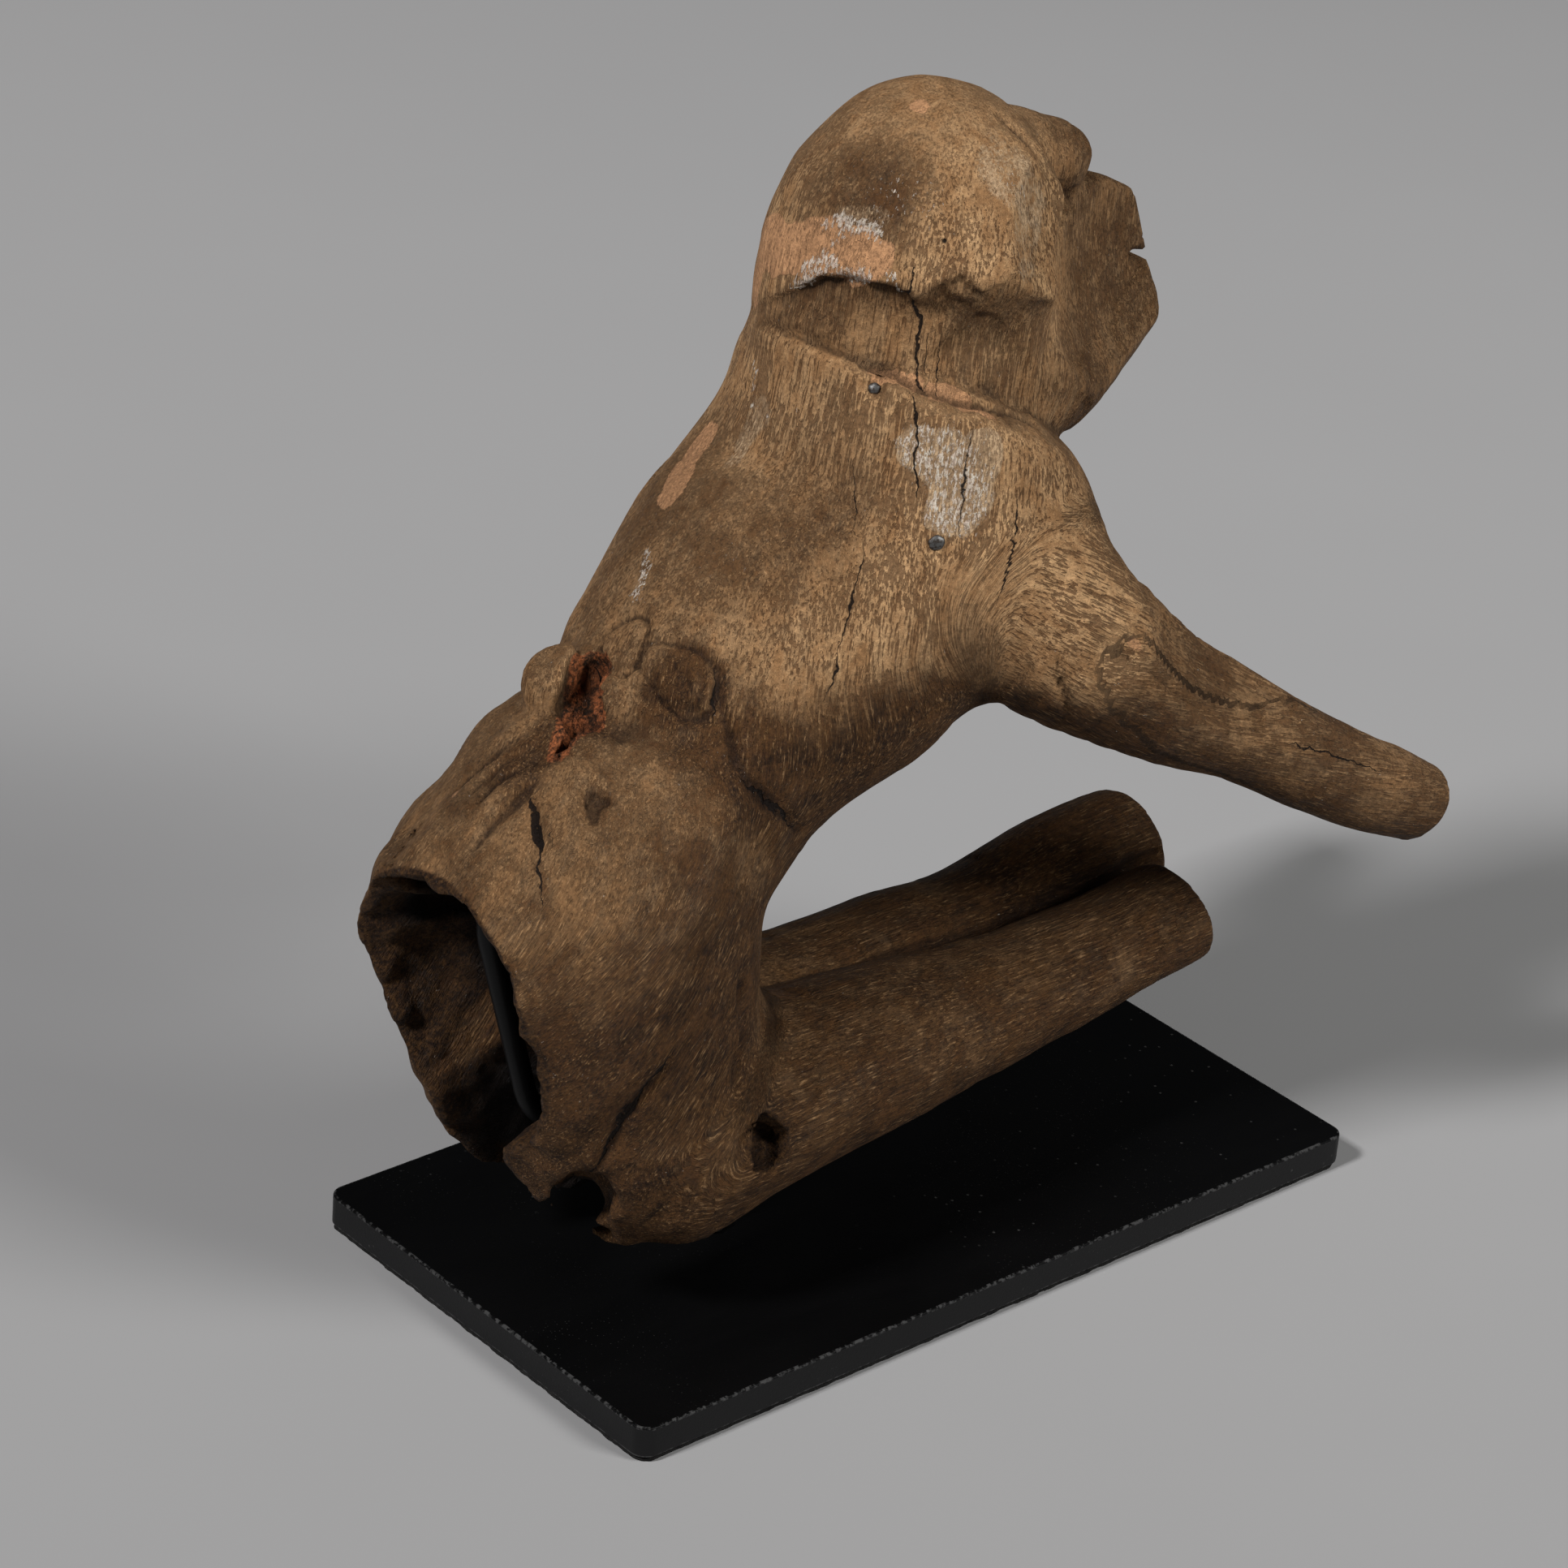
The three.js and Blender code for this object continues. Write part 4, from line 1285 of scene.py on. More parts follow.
    chips: tuple[Patch, ...] = (
        (((-21.5, 12, 148), (-21.3, 11.5, 153.5), (-24, -1, 157.8), (-21.6, -9, 159)), 3.9, 1.0),
        (((-20.3, -12.4, 143.4), (-16.4, -17.2, 141.7), (-8.8, -20.6, 138.8)), 1.7, 1.0),
        (((-27, 13.5, 126.1), (-31.5, 12.5, 122.8), (-35.5, 10.6, 120.9)), 3.0, 1.0),
        (((-8.3, -2.9, 175.9), (-8, -3.5, 175.9)), 1.3, 0.8),
        (((8.5, -35.9, 105), (12, -36, 103)), 1.6, 0.7),
        (((-67, 6, 88), (-72, 8, 85)), 1.6, 0.6),
    )
    rubbed_and_sheen: tuple[Patch, ...] = (
        (((-17.3, -20.9, 134.1), (-14.8, -23.6, 129.8), (-15.5, -24, 126)), 4.6, 1.0),
        (((-11.5, -24.2, 134), (-12.5, -24.6, 129)), 4.0, 1.0),
        (((-3.1, -14.1, 170.6), (1.3, -18.9, 164.5), (-2, -21.7, 159.6)), 5.0, 0.52),
        (((-22.1, -4.7, 162.4), (-19.3, -9, 163.5)), 3.0, 0.5),
        (((-27, 4, 134), (-31, 4, 128)), 3.0, 0.5),
    )
    # Patches where the painted glints gather.
    painted_glints: tuple[Patch, ...] = (
        (((-24.2, -1.5, 161.2), (-22.1, -6, 162.2), (-20.3, -9.5, 162.4)), 1.5, 1.0),
        (((-23.6, -4.4, 160.5), (-24, -4.4, 157)), 1.1, 1.0),
        (((-25, 0.5, 153.2), (-24.4, -3.4, 155.8), (-22.6, -8, 156.8), (-19.5, -13, 156.4)), 1.5, 1.1),
        (((-43.3, 7.1, 113.6), (-46.8, 3.3, 110)), 1.1, 1.0),
        (((-25.4, 6.4, 138.4), (-27, 6, 133.5)), 1.0, 0.9),
        (((-17.3, -20.9, 134.1), (-13, -23.6, 129.8), (-15.5, -24, 126)), 5.0, 0.6),
        (((-18, -9, 168), (-16, -12, 166)), 3.5, 0.35),
        (((-3, -15, 170), (1.5, -18.5, 164.5), (-2, -21.7, 159)), 1.6, 0.45),
        (((-46, -10.5, 105), (-43.6, -13.6, 103.4)), 0.8, 0.9),
    )
    # Soft patches of the tone, each a middle, radius and strength. Most are stains; the one between the
    # waist's lobes and the one over the far leg are painted shade, and those with a strength below nought
    # pale the wood as painted light.
    stains_light_and_shade: tuple[tuple[Spot, float, float], ...] = (
        ((-33.9, -21.7, 93.8), 17.0, 0.35),
        ((-17.1, -25.2, 100.7), 15.0, 0.3),
        ((-46.2, -15.2, 99.3), 10.0, 0.3),
        ((-43.0, -19.1, 91.6), 9.0, 0.3),
        ((-52.0, -24.0, 56.0), 24.0, 0.18),
        ((-19.6, -5.7, 165.0), 14.0, 0.3),
        ((-0.4, -26.5, 124.0), 6.0, 0.3),
        ((-57.3, 0.0, 96.0), 9.0, 0.3),
        ((-8.0, -29.0, 111.0), 9.0, 0.15),
        ((-48.6, -8.6, 103.7), 6.5, 0.4),
        ((-64.0, 2.0, 90.0), 8.0, 0.3),
        ((-40.0, -24.0, 34.8), 8.0, 0.3),
        ((-30.0, -14.0, 112.0), 18.0, 0.15),
        ((4.0, -34.0, 104.0), 11.0, -0.3),
        ((1.0, -19.0, 163.0), 12.0, -0.1),
        ((-24.0, 4.0, 130.0), 12.0, -0.1),
        ((9.6, -16.0, 135.8), 9.0, 0.15),
        ((40.0, 10.0, 30.0), 22.0, 0.45),
        ((-60.0, -18.0, 26.0), 14.0, 0.3),
        ((-15.0, 2.0, 150.0), 26.0, -0.08),
    )
    marks: int = 520
    coarse: Lattice = field(default_factory=lambda: Lattice(11))
    fine: Lattice = field(default_factory=lambda: Lattice(29))

    def uneven(self, points: Points) -> Points:
        """The points shifted a little by noise, so that no form is quite regular; more so about the rot."""
        rotten = self.rottenness(points)[:, None]
        shift = self.coarse.shift(points, 17.0, 31.0)
        twist = self.fine.shift(points, 6.5, -23.0)
        return points + (0.7 + 0.5 * rotten) * shift + (0.22 + 0.75 * rotten) * twist

    def rottenness(self, points: Points) -> Values:
        """One about the hollow's mouth and the pits of the waist, falling to nought on sound wood."""
        away = [
            np.linalg.norm((points - np.array(centre)) / np.array(reach), axis=1)
            for centre, reach in self.rotten
        ]
        return smooth_step(1.25, 0.6, np.minimum.reduce(away))

    def arms(self) -> tuple[Sweep, Sweep]:
        """The right arm and its mirror image."""
        return self.right_arm, Sweep(mirrored(self.right_arm.stations), self.right_arm.edge)

    def solid(self, points: Points) -> Values:
        """The figure's field: the forms melted into one another, then the facets, the hollow, the gap and the
        notch, the pits, the mouth and the rod's hole carved out of them, and a seat under each nail's head.

        Args:
            points: places, in millimetres.

        Returns:
            The field at each point.
        """
        bent = self.uneven(points)
        wood = melt(self.trunk.field(bent), self.hips.field(bent), 2.2)
        wood = melt(wood, self.head.field(bent) + self.ledge(points), 1.0)
        wood = melt(wood, self.jaw.field(bent), 2.0)
        wood = melt(wood, self.nose.field(bent), 1.6)
        for arm in self.arms():
            wood = melt(wood, arm.field(bent), 6.0)
        wood = melt(wood, melt(self.right_leg.field(bent), self.left_leg.field(bent), 0.8), 6.0)
        for knob in self.knobs:
            wood = melt(wood, knob.field(bent), 2.6)
        for facet in self.facets:
            wood = carve(wood, facet.field(points), 0.5)
        ragged = 1.1 * self.fine.layered(points, 7.0, 3) + 0.5 * self.coarse.at(points, 3.1)
        opened = melt(self.hollow.field(points), self.channel.field(points), 3.0) + ragged
        slot = np.minimum(self.gap.field(points), self.notch.field(points))
        wood = carve(wood, np.minimum(opened, slot + 1.2 * ragged), 1.0)
        for pit in (*self.rot_pits, self.knot_hole, self.small_pit, *self.deep_holes):
            wood = carve(wood, pit.field(points) + 0.8 * ragged, 0.7)
        above = np.abs((points - np.array(self.mouth)) @ np.array(self.mouth_facing))
        wood = carve(wood, np.maximum(above - self.mouth_half, self.mouth_back - points[:, 0]), 0.4)
        wood = carve(wood, self.rod_hole.field(points), 0.4)
        for _, at, out, radius in self.nails:
            away = points - np.array(at)
            seat = smooth_step(2.6 * radius, 1.2 * radius, np.linalg.norm(away, axis=1))
            wood = wood + seat * (away @ unit(np.array(out)) + 0.12 - wood)
        return wood

    def nape_lines(self, points: Points) -> tuple[Values, Values, Values]:
        """Height above the ridge at the back of the skull, share of the way up to it from the neck's crease,
        and how deep the band between them lies, by the direction round the head.

        Args:
            points: places, in millimetres.

        Returns:
            The three values at each point.
        """
        angle = np.degrees(np.arctan2(-points[:, 1], -points[:, 0]))
        table = np.array(self.nape, dtype=float)
        crest, crease, deep = (np.interp(angle, table[:, 0], table[:, column]) for column in (1, 2, 3))
        height = points[:, 2] - crest - 0.45 * self.fine.at(points, 2.6)
        return height, (points[:, 2] - crease) / (crest - crease), deep

    def ledge(self, points: Points) -> Values:
        """What the head's field gains: a sharp step back below the skull's ridge that fades toward the neck,
        and a slight lip above it."""
        height, share, deep = self.nape_lines(points)
        below = smooth_step(0.2, -0.4, height) * smooth_step(-0.1, 0.8, share)
        lip = smooth_step(-0.2, 0.4, height) * smooth_step(4.5, 1.0, height)
        return deep * (1.1 * below - 0.4 * lip)

    def skin(self) -> Skin:
        """Meshes the field, brings the points onto it, flattens them by the tool marks, raises the swellings
        and sinks the creases.

        Returns:
            The meshed figure.
        """
        net = SurfaceNet(np.array(self.low), np.array(self.high), self.pitch)
        skin = Skin(*net.mesh(net.sample(self.solid)))
        ahead_by = 0.2
        for _ in range(2):
            normals = skin.normals()
            here, ahead = self.solid(skin.points), self.solid(skin.points + ahead_by * normals)
            slope = np.clip((ahead - here) / ahead_by, 0.35, 2.0)
            skin.points = skin.points - np.clip(here / slope, -0.5, 0.5)[:, None] * normals
        skin.points = skin.points + self.tool_marks(skin)[:, None] * skin.normals()
        normals = skin.normals()
        rise = sum(boss.rise(skin.points) for boss in self.bosses) - self.engraving(skin.points, normals)
        skin.points = skin.points + rise[:, None] * normals
        return skin

    def engraving(self, points: Points, normals: Points) -> Values:
        """How deep the creases lie at each point: their half width on the line, falling off to both sides by
        the distance along the surface.

        Args:
            points: places, in millimetres.
            normals: outward directions.

        Returns:
            The depth, in millimetres.
        """
        drifted = points + 0.5 * self.drift(points, 3.0)
        deepest = np.zeros(len(points))
        for crease in self.creases:
            distance, place, _, way = crease.nearest(drifted)
            above = ((drifted - place) * normals).sum(axis=1)
            aside = np.sqrt(np.maximum(distance**2 - above**2, 0.0))
            width = crease.half_width(way)
            strength = np.exp(-((aside / width) ** 2)) * smooth_step(3.6, 2.4, np.abs(above))
            deepest = np.maximum(deepest, strength * np.minimum(width, 1.2))
        return deepest

    def tool_marks(self, skin: Skin) -> Values:
        """How far each point moves outwards to lie flatter: each point takes the nearest of scattered facets,
        and goes part of the way to that facet's plane, but not on the rotten parts. Fine roughness along the
        grain is added, most of it about the waist.

        Args:
            skin: the meshed figure.

        Returns:
            The move of each point, in millimetres.
        """
        chosen = np.random.default_rng(5).choice(len(skin.points), self.marks, replace=False)
        normals = skin.normals()
        smooth = normals
        for _ in range(8):
            smooth = unit(skin.neighbour_mean(smooth))
        seeds, planes = skin.points[chosen], smooth[chosen]
        far = (skin.points**2).sum(axis=1)[:, None] + (seeds**2).sum(axis=1)[None]
        turned_away = 60.0 * (1.0 - smooth @ planes.T)
        gap = far - 2.0 * skin.points @ seeds.T + turned_away
        nearest = gap.argmin(axis=1)
        height = ((seeds[nearest] - skin.points) * planes[nearest]).sum(axis=1)
        sound = 1.0 - self.rottenness(skin.points)
        marks = 0.32 * np.clip(height, -0.8, 0.3) * sound
        gnarled = smooth_step(112.0, 98.0, skin.points[:, 2]) * smooth_step(-30.0, -48.0, skin.points[:, 0])
        rough = 0.07 + 0.16 * gnarled + 0.14 * self.rottenness(skin.points)
        drawn_out = self.grain(skin.points) * np.array([1.0, 1.0, 0.35])
        return (marks + rough * self.fine.layered(drawn_out, 3.2, 2)
                + 1.4 * rough * np.maximum(self.coarse.at(drawn_out, 6.0), -0.3))

    def grain(self, points: Points) -> Points:
        """Coordinates that run along the grain: the third is the way along the limb, and the others lie
        across it. They are turned about the waist and each shoulder and hip, so that they meet there.

        Args:
            points: places, in millimetres.

        Returns:
            The coordinates, one row for each point.
        """
        def turned(along: Sequence[float]) -> Points:
            """Three directions, the third of them along the grain."""
            third = unit(np.array(along, dtype=float))
            first = unit(np.cross(LEFT, third))
            return np.stack([first, np.cross(third, first), third])

        trunk = turned((0.08, 0.0, 0.99))
        waist = np.array([-42.0, 0.0, 88.0])
        low = smooth_step(100.0, 74.0, points[:, 2] - 0.4 * (points[:, 0] + 42.0))[:, None]
        bent = (points - waist) @ turned((0.6, 0.0, 0.8)).T + trunk @ waist
        flow = points @ trunk.T * (1.0 - low) + bent * low
        body = np.minimum.reduce([form.field(points) for form in (self.trunk, self.hips, self.head)])
        right_arm, left_arm = (arm.field(points) for arm in self.arms())
        legs = np.minimum(self.right_leg.field(points), self.left_leg.field(points))
        limbs = (
            (right_arm, (67.0, -10.5, -41.0), (6.0, -24.0, 104.0)),
            (left_arm, (67.0, 10.5, -41.0), (6.0, 24.0, 104.0)),
            (legs, (1.0, 0.0, 0.04), (-34.0, 0.0, 36.0)),
        )
        for inside, along, joint in limbs:
            centre = np.array(joint)
            own = (points - centre) @ turned(along).T + trunk @ centre
            share = smooth_step(-2.0, 3.0, body - inside)[:, None]
            flow = flow + share * (own - flow)
        return flow

    def store(self, skin: Skin) -> None:
        """Stores what the finish reads: grain and where it ends, painted shade in the creases, darkness, rot,
        painted shade deep in the hollow, fresh chips, polish, painted glints and cracks.

        Args:
            skin: the meshed figure.
        """
        points, normals = skin.points, skin.normals()
        flow = self.grain(points)
        skin.layers["flow"] = flow
        # Painted shade in the crease layer: along the carved creases, in the swellings' grooves and rings,
        # and wherever the surface lies in a hollow.
        drawn = 0.3 * self.engraving(points, normals) ** 2 + sum(boss.shade(points) for boss in self.bosses)
        skin.layers["crease"] = np.clip(skin.hollowness(9) * 0.8 + drawn, -1.0, 1.0)
        skin.layers["tone"] = self.darkness(points, normals)
        along = self.grain(points + 0.5 * normals)[:, 2] - flow[:, 2]
        skin.layers["ends"] = smooth_step(0.2, 0.42, np.abs(along))
        inside = np.minimum(self.hollow.field(points), self.channel.field(points))
        knot = smooth_step(1.2, 0.0, self.knot_hole.field(points))
        skin.layers["inner"] = np.maximum(smooth_step(1.8, 0.0, inside), knot)
        # Painted shade: the depth layer blacks the deep holes past their mouths and darkens the hollow's
        # walls the further in they lie.
        holes = np.minimum.reduce([hole.field(points) for hole in self.deep_holes])
        black = smooth_step(1.0, 0.0, holes) * smooth_step(-79.0, -74.0, points[:, 0])
        dim = smooth_step(-74.0, -60.0, points[:, 0]) * smooth_step(1.0, 0.0, inside)
        skin.layers["depth"] = np.maximum(black, dim)
        pits = np.minimum.reduce([pit.field(points) for pit in self.rot_pits])
        skin.layers["rot"] = smooth_step(1.6, 0.2, pits)
        warped = points + 1.3 * self.drift(points, 5.0) + 0.7 * self.drift(points, 1.9)
        for layer, patches in (("chip", self.chips), ("polish", self.rubbed_and_sheen), ("painted_glint", self.painted_glints)):
            skin.layers[layer] = self.patches(warped, patches)
        self.store_cracks(skin)

    def store_cracks(self, skin: Skin) -> None:
        """Stores how far each point lies to the side of the nearest crack, and how wide half the crack is."""
        points, normals = skin.points, skin.normals()
        reach = 2.4
        side = np.full(len(points), 3.0)
        width = np.zeros(len(points))
        closest = np.full(len(points), reach)
        for crack in self.cracks:
            distance, place, direction, way = crack.nearest(points)
            near = distance < closest
            lateral = ((points - place) * unit(np.cross(direction, normals))).sum(axis=1)
            side[near] = lateral[near]
            width[near] = crack.half_width(way[near]) * smooth_step(reach, 1.6, distance[near])
            closest[near] = distance[near]
        skin.layers["crack_side"] = side
        skin.layers["crack_width"] = width

    def drift(self, points: Points, period: float) -> Points:
        """A random shift in all three directions, that changes over the period."""
        return self.fine.shift(points, period, 41.0)

    @staticmethod
    def patches(points: Points, patches: Sequence[Patch]) -> Values:
        """The strongest of soft patches, each with a path, a half width and a strength."""
        best = np.zeros(len(points))
        for path, half, strength in patches:
            away = Trail(path).nearest(points)[0]
            best = np.maximum(best, strength * smooth_step(1.25 * half, 0.6 * half, away))
        return best

    def darkness(self, points: Points, normals: Points) -> Values:
        """Darkness of the wood: dark patina more toward the hips and legs and on the arms, darker in the band
        at the nape, broad patches that are stains, painted shade and painted light, painted shade on faces
        that look down, and painted light that leaves the flanks of the upper body paler.

        Args:
            points: places, in millimetres.
            normals: outward directions.

        Returns:
            Nought for pale wood to one for dark.
        """
        height, share, deep = self.nape_lines(points)
        band = smooth_step(0.5, -0.6, height) * smooth_step(-0.15, 0.12, share) * np.minimum(2.0 * deep, 1.0)
        low = smooth_step(104.0, 60.0, points[:, 2] - 0.25 * (points[:, 0] + 50.0))
        arm = smooth_step(8.0, 20.0, points[:, 0]) * smooth_step(50.0, 58.0, points[:, 2])
        # Painted shade: darker on faces that look down.
        under = smooth_step(0.1, -0.8, normals[:, 2]) * 0.3
        warped = points + 3.0 * self.drift(points, 14.0)
        stains_light_and_shade = np.zeros(len(points))
        for middle, radius, strength in self.stains_light_and_shade:
            away = np.linalg.norm(warped - np.array(middle), axis=1)
            stains_light_and_shade = stains_light_and_shade + strength * smooth_step(radius, 0.3 * radius, away)
        # Painted light: the flanks of the upper body, which face sideways, are left paler.
        flank = smooth_step(0.45, 0.9, np.abs(normals[:, 1])) * smooth_step(92.0, 108.0, points[:, 2])
        back = (0.3 + 0.2 * smooth_step(140.0, 122.0, points[:, 2])) * (1.0 - flank)
        body = (back + 0.24 * low) * (1.0 - arm) + 0.52 * arm
        return np.clip(0.04 + body + 0.34 * band + under + stains_light_and_shade, 0.0, 1.0)

    def build(self) -> bpy.types.Object:
        """Makes the piece, dresses it and puts it in the frame."""
        skin = self.skin()
        self.store(skin)
        piece = skin.build("carved_wood")
        piece.data.materials.append(OldWood().material(self.holes))
        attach(piece, BODY)
        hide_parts("carved_figure")
        return piece


# The mount


def rounded_path(corners: Sequence[Spot], bend: float, count: int) -> Points:
    """A path through the corners, each one rounded by a parabola that starts and ends the bend away from it.

    Args:
        corners: the corners, in millimetres.
        bend: length of straight run that each rounding takes.
        count: points on each rounding.

    Returns:
        The points of the path.
    """
    knots = np.array(corners, dtype=float)
    share = np.linspace(0.0, 1.0, count)[:, None]
    parts = [knots[:1]]
    for before, corner, after in zip(knots, knots[1:], knots[2:]):
        start, end = corner + bend * unit(before - corner), corner + bend * unit(after - corner)
        parts.append((1.0 - share) ** 2 * start + 2.0 * share * (1.0 - share) * corner + share**2 * end)
    return np.vstack([*parts, knots[-1:]])


def ringed(rings: Points) -> tuple[Points, np.ndarray]:
    """Points and four-sided faces of a stack of rings, with each end drawn in to a fan of faces.

    Args:
        rings: the rings, counted along the piece, then round it.

    Returns:
        The points and the corners of each face; the end faces repeat their middle point.
    """
    count, around = rings.shape[:2]
    row, column = np.meshgrid(np.arange(count - 1), np.arange(around), indexing="ij")
    here, after = row * around + column, row * around + (column + 1) % around
    faces = np.stack([here, after, after + around, here + around], axis=-1).reshape(-1, 4)
    points = np.vstack([rings.reshape(-1, 3), rings[0].mean(axis=0), rings[-1].mean(axis=0)])
    turn = np.arange(around)
    following = (turn + 1) % around
    last = (count - 1) * around
    bottom, top = (np.full(around, number) for number in (count * around, count * around + 1))
    first_fan = np.stack([turn, bottom, bottom, following], axis=1)
    last_fan = np.stack([last + turn, last + following, top, top], axis=1)
    return points, np.vstack([faces, first_fan, last_fan])


def solid_piece(name: str, rings: Points, layers: dict[str, np.ndarray] | None = None) -> bpy.types.Object:
    """Makes a closed piece from a stack of rings, in millimetres.

    Args:
        name: name of the piece.
        rings: the rings, counted along the piece, then round it.
        layers: values stored on the points, for the rings' points only.

    Returns:
        The new object.
    """
    points, faces = ringed(rings)
    mesh = bpy.data.meshes.new(name)
    outlines = [list(dict.fromkeys(face)) for face in faces.tolist()]
    mesh.from_pydata((points * MM).tolist(), [], outlines)
    mesh.polygons.foreach_set("use_smooth", np.ones(len(outlines), dtype=bool))
    for layer, values in (layers or {}).items():
        filled = np.concatenate([values.ravel(), np.zeros(2)]).astype(np.float32)
        mesh.attributes.new(layer, "FLOAT", "POINT").data.foreach_set("value", filled)
    return linked(name, mesh)


@dataclass(frozen=True)
class SupportRod:
    """The bent black rod, welded to the plate, up through the legs and the hollow into the waist."""

    corners: tuple[Spot, ...] = (
        (-28.5, -1.4, 6.2), (-28.5, -1.4, 32.0), (-62.0, 0.0, 33.0), (-73.4, 0.8, 73.0), (-50.0, 0.0, 78.0),
    )
    radius: float = 1.6
    bend: float = 8.0
    weld_radius: float = 2.9
    weld_height: float = 1.5
    around: int = 40

    def build(self) -> bpy.types.Object:
        """Runs a round section along the path; near the foot the section swells into an uneven weld bead."""
        path = rounded_path(self.corners, self.bend, 24)
        runs = np.concatenate([[0.0], np.cumsum(np.linalg.norm(np.diff(path, axis=0), axis=1))])
        even = np.unique(np.concatenate([np.linspace(0.0, 3.0, 16), np.linspace(3.0, runs[-1], 240)]))
        spine = np.stack([np.interp(even, runs, path[:, axis]) for axis in range(3)], axis=1)
        along = unit(np.gradient(spine, axis=0))
        across = unit(LEFT - along[:, 1:2] * along)
        out = np.cross(along, across)
        angle = 2.0 * np.pi * np.arange(self.around) / self.around
        climb = np.clip(even / self.weld_height, 0.0, 1.0)[:, None]
        bead = 1.0 + 0.1 * np.sin(5.0 * angle + 0.6) + 0.06 * np.sin(9.0 * angle)
        swell = (self.weld_radius * bead - self.radius) * np.sqrt(1.0 - climb**2)
        reach = self.radius + np.maximum(swell, 0.0)
        cosine, sine = np.cos(angle)[None, :, None], np.sin(angle)[None, :, None]
        rings = spine[:, None] + reach[..., None] * (cosine * across[:, None] + sine * out[:, None])
        piece = solid_piece("bent_rod", rings)
        piece.data.materials.append(PaintedSteel.ROD.material())
        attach(piece, BODY)
        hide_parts("support_rod")
        return piece


@dataclass(frozen=True)
class FlatSlab:
    """A rounded rectangular sheet, built as rings round its edge profile and drawn in over both faces."""

    length: float
    width: float
    corner: float
    around_corner: int = 10

    def outline(self, inset: float, per_side: int) -> Points:
        """Points round the rectangle at an inset, evenly spread along the sides and round the corners."""
        half = np.array([self.length, self.width]) / 2.0 - self.corner
        radius = max(self.corner - inset, 0.02)
        shrink = half - max(inset - self.corner + 0.02, 0.0)
        signs = np.array([[1, 1], [-1, 1], [-1, -1], [1, -1]], dtype=float)
        parts = []
        for turn, sign in enumerate(signs):
            angle = np.pi / 2.0 * (turn + np.linspace(0.0, 1.0, self.around_corner))
            arc = sign * shrink + radius * np.stack([np.cos(angle), np.sin(angle)], axis=1)
            following = signs[(turn + 1) % 4] * shrink
            leave = np.pi / 2.0 * (turn + 1)
            goal = following + radius * np.array([math.cos(leave), math.sin(leave)])
            share = np.linspace(0.0, 1.0, per_side + 2)[1:-1, None]
            parts += [arc, arc[-1] + share * (goal - arc[-1])]
        return np.vstack(parts)

    def rings(self, profile: Sequence[tuple[float, float]], per_side: int = 40) -> Points:
        """One ring for each (inset, height) of the profile."""
        count = 4 * (per_side + self.around_corner)
        return np.stack([
            np.column_stack([self.outline(inset, per_side), np.full(count, height)])
            for inset, height in profile
        ])


@dataclass(frozen=True)
class BasePlate:
    """The black steel plate, with a fine bevel round its top and bottom edges."""

    slab: FlatSlab = FlatSlab(140.0, 74.0, 2.5)
    low: float = 0.9
    high: float = 5.9
    bevel: float = 0.35

    def build(self) -> bpy.types.Object:
        """Lofts the edge profile round the plate; the bevels carry the layer where the finish paints a
        highlight, and the walls the layer where it paints them paler.
        """
        turns = np.linspace(0.0, np.pi / 2.0, 5)
        arc = [(self.bevel * (1.0 - math.sin(a)), self.bevel * (1.0 - math.cos(a))) for a in turns]
        lower = [(inset, self.low + rise) for inset, rise in arc]
        upper = [(drop, self.high - inset) for inset, drop in arc]
        insets = (18.0, 1.2, self.bevel + 0.15)
        inner = [(inset, self.low) for inset in insets]
        outer = [(inset, self.high) for inset in reversed(insets)]
        wall = [(0.0, self.low + self.bevel + 0.12), (0.0, self.high - self.bevel - 0.12)]
        rings = self.slab.rings(inner + lower + wall + upper + outer)
        # The edge layer marks the bevels for the painted highlight, the wall layer the walls for painted
        # light.
        worn = np.array([0.0] * 3 + [1.0] * 5 + [0.0] * 2 + [1.0] * 5 + [0.0] * 3)
        side = np.array([0.0] * 7 + [1.0] * 4 + [0.0] * 7)
        layers = {"edge": np.repeat(worn, rings.shape[1]), "wall": np.repeat(side, rings.shape[1])}
        piece = solid_piece("black_plate", rings, layers)
        piece.data.materials.append(PaintedSteel.PLATE.material())
        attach(piece, BODY)
        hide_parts("base_plate")
        return piece


@dataclass(frozen=True)
class FeltPad:
    """The thin felt sheet under the plate, whose cut edge is slightly ragged."""

    slab: FlatSlab = FlatSlab(139.2, 73.2, 2.2)
    thick: float = 0.6

    def build(self) -> bpy.types.Object:
        """Lofts the sheet and pushes its edge in and out by noise."""
        under = [(16.0, 0.0), (0.8, 0.0), (0.15, 0.02), (0.0, 0.15)]
        profile = under + [(inset, self.thick - rise) for inset, rise in reversed(under)]
        rings = self.slab.rings(profile, per_side=220)
        flat = rings.reshape(-1, 3)
        ragged = Lattice(41).layered(flat, 1.6, 2) * 0.14 + Lattice(43).at(flat, 0.5) * 0.08
        away = unit(flat * np.array([1.0, 1.0, 0.0]))
        edge = np.repeat(np.array([0.0, 0.0, 1.0, 1.0, 1.0, 1.0, 0.0, 0.0]), rings.shape[1])
        flat = flat + (edge * ragged)[:, None] * away
        piece = solid_piece("felt_sheet", flat.reshape(rings.shape))
        piece.data.materials.append(BlackFelt().material())
        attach(piece, BODY)
        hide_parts("felt_pad")
        return piece


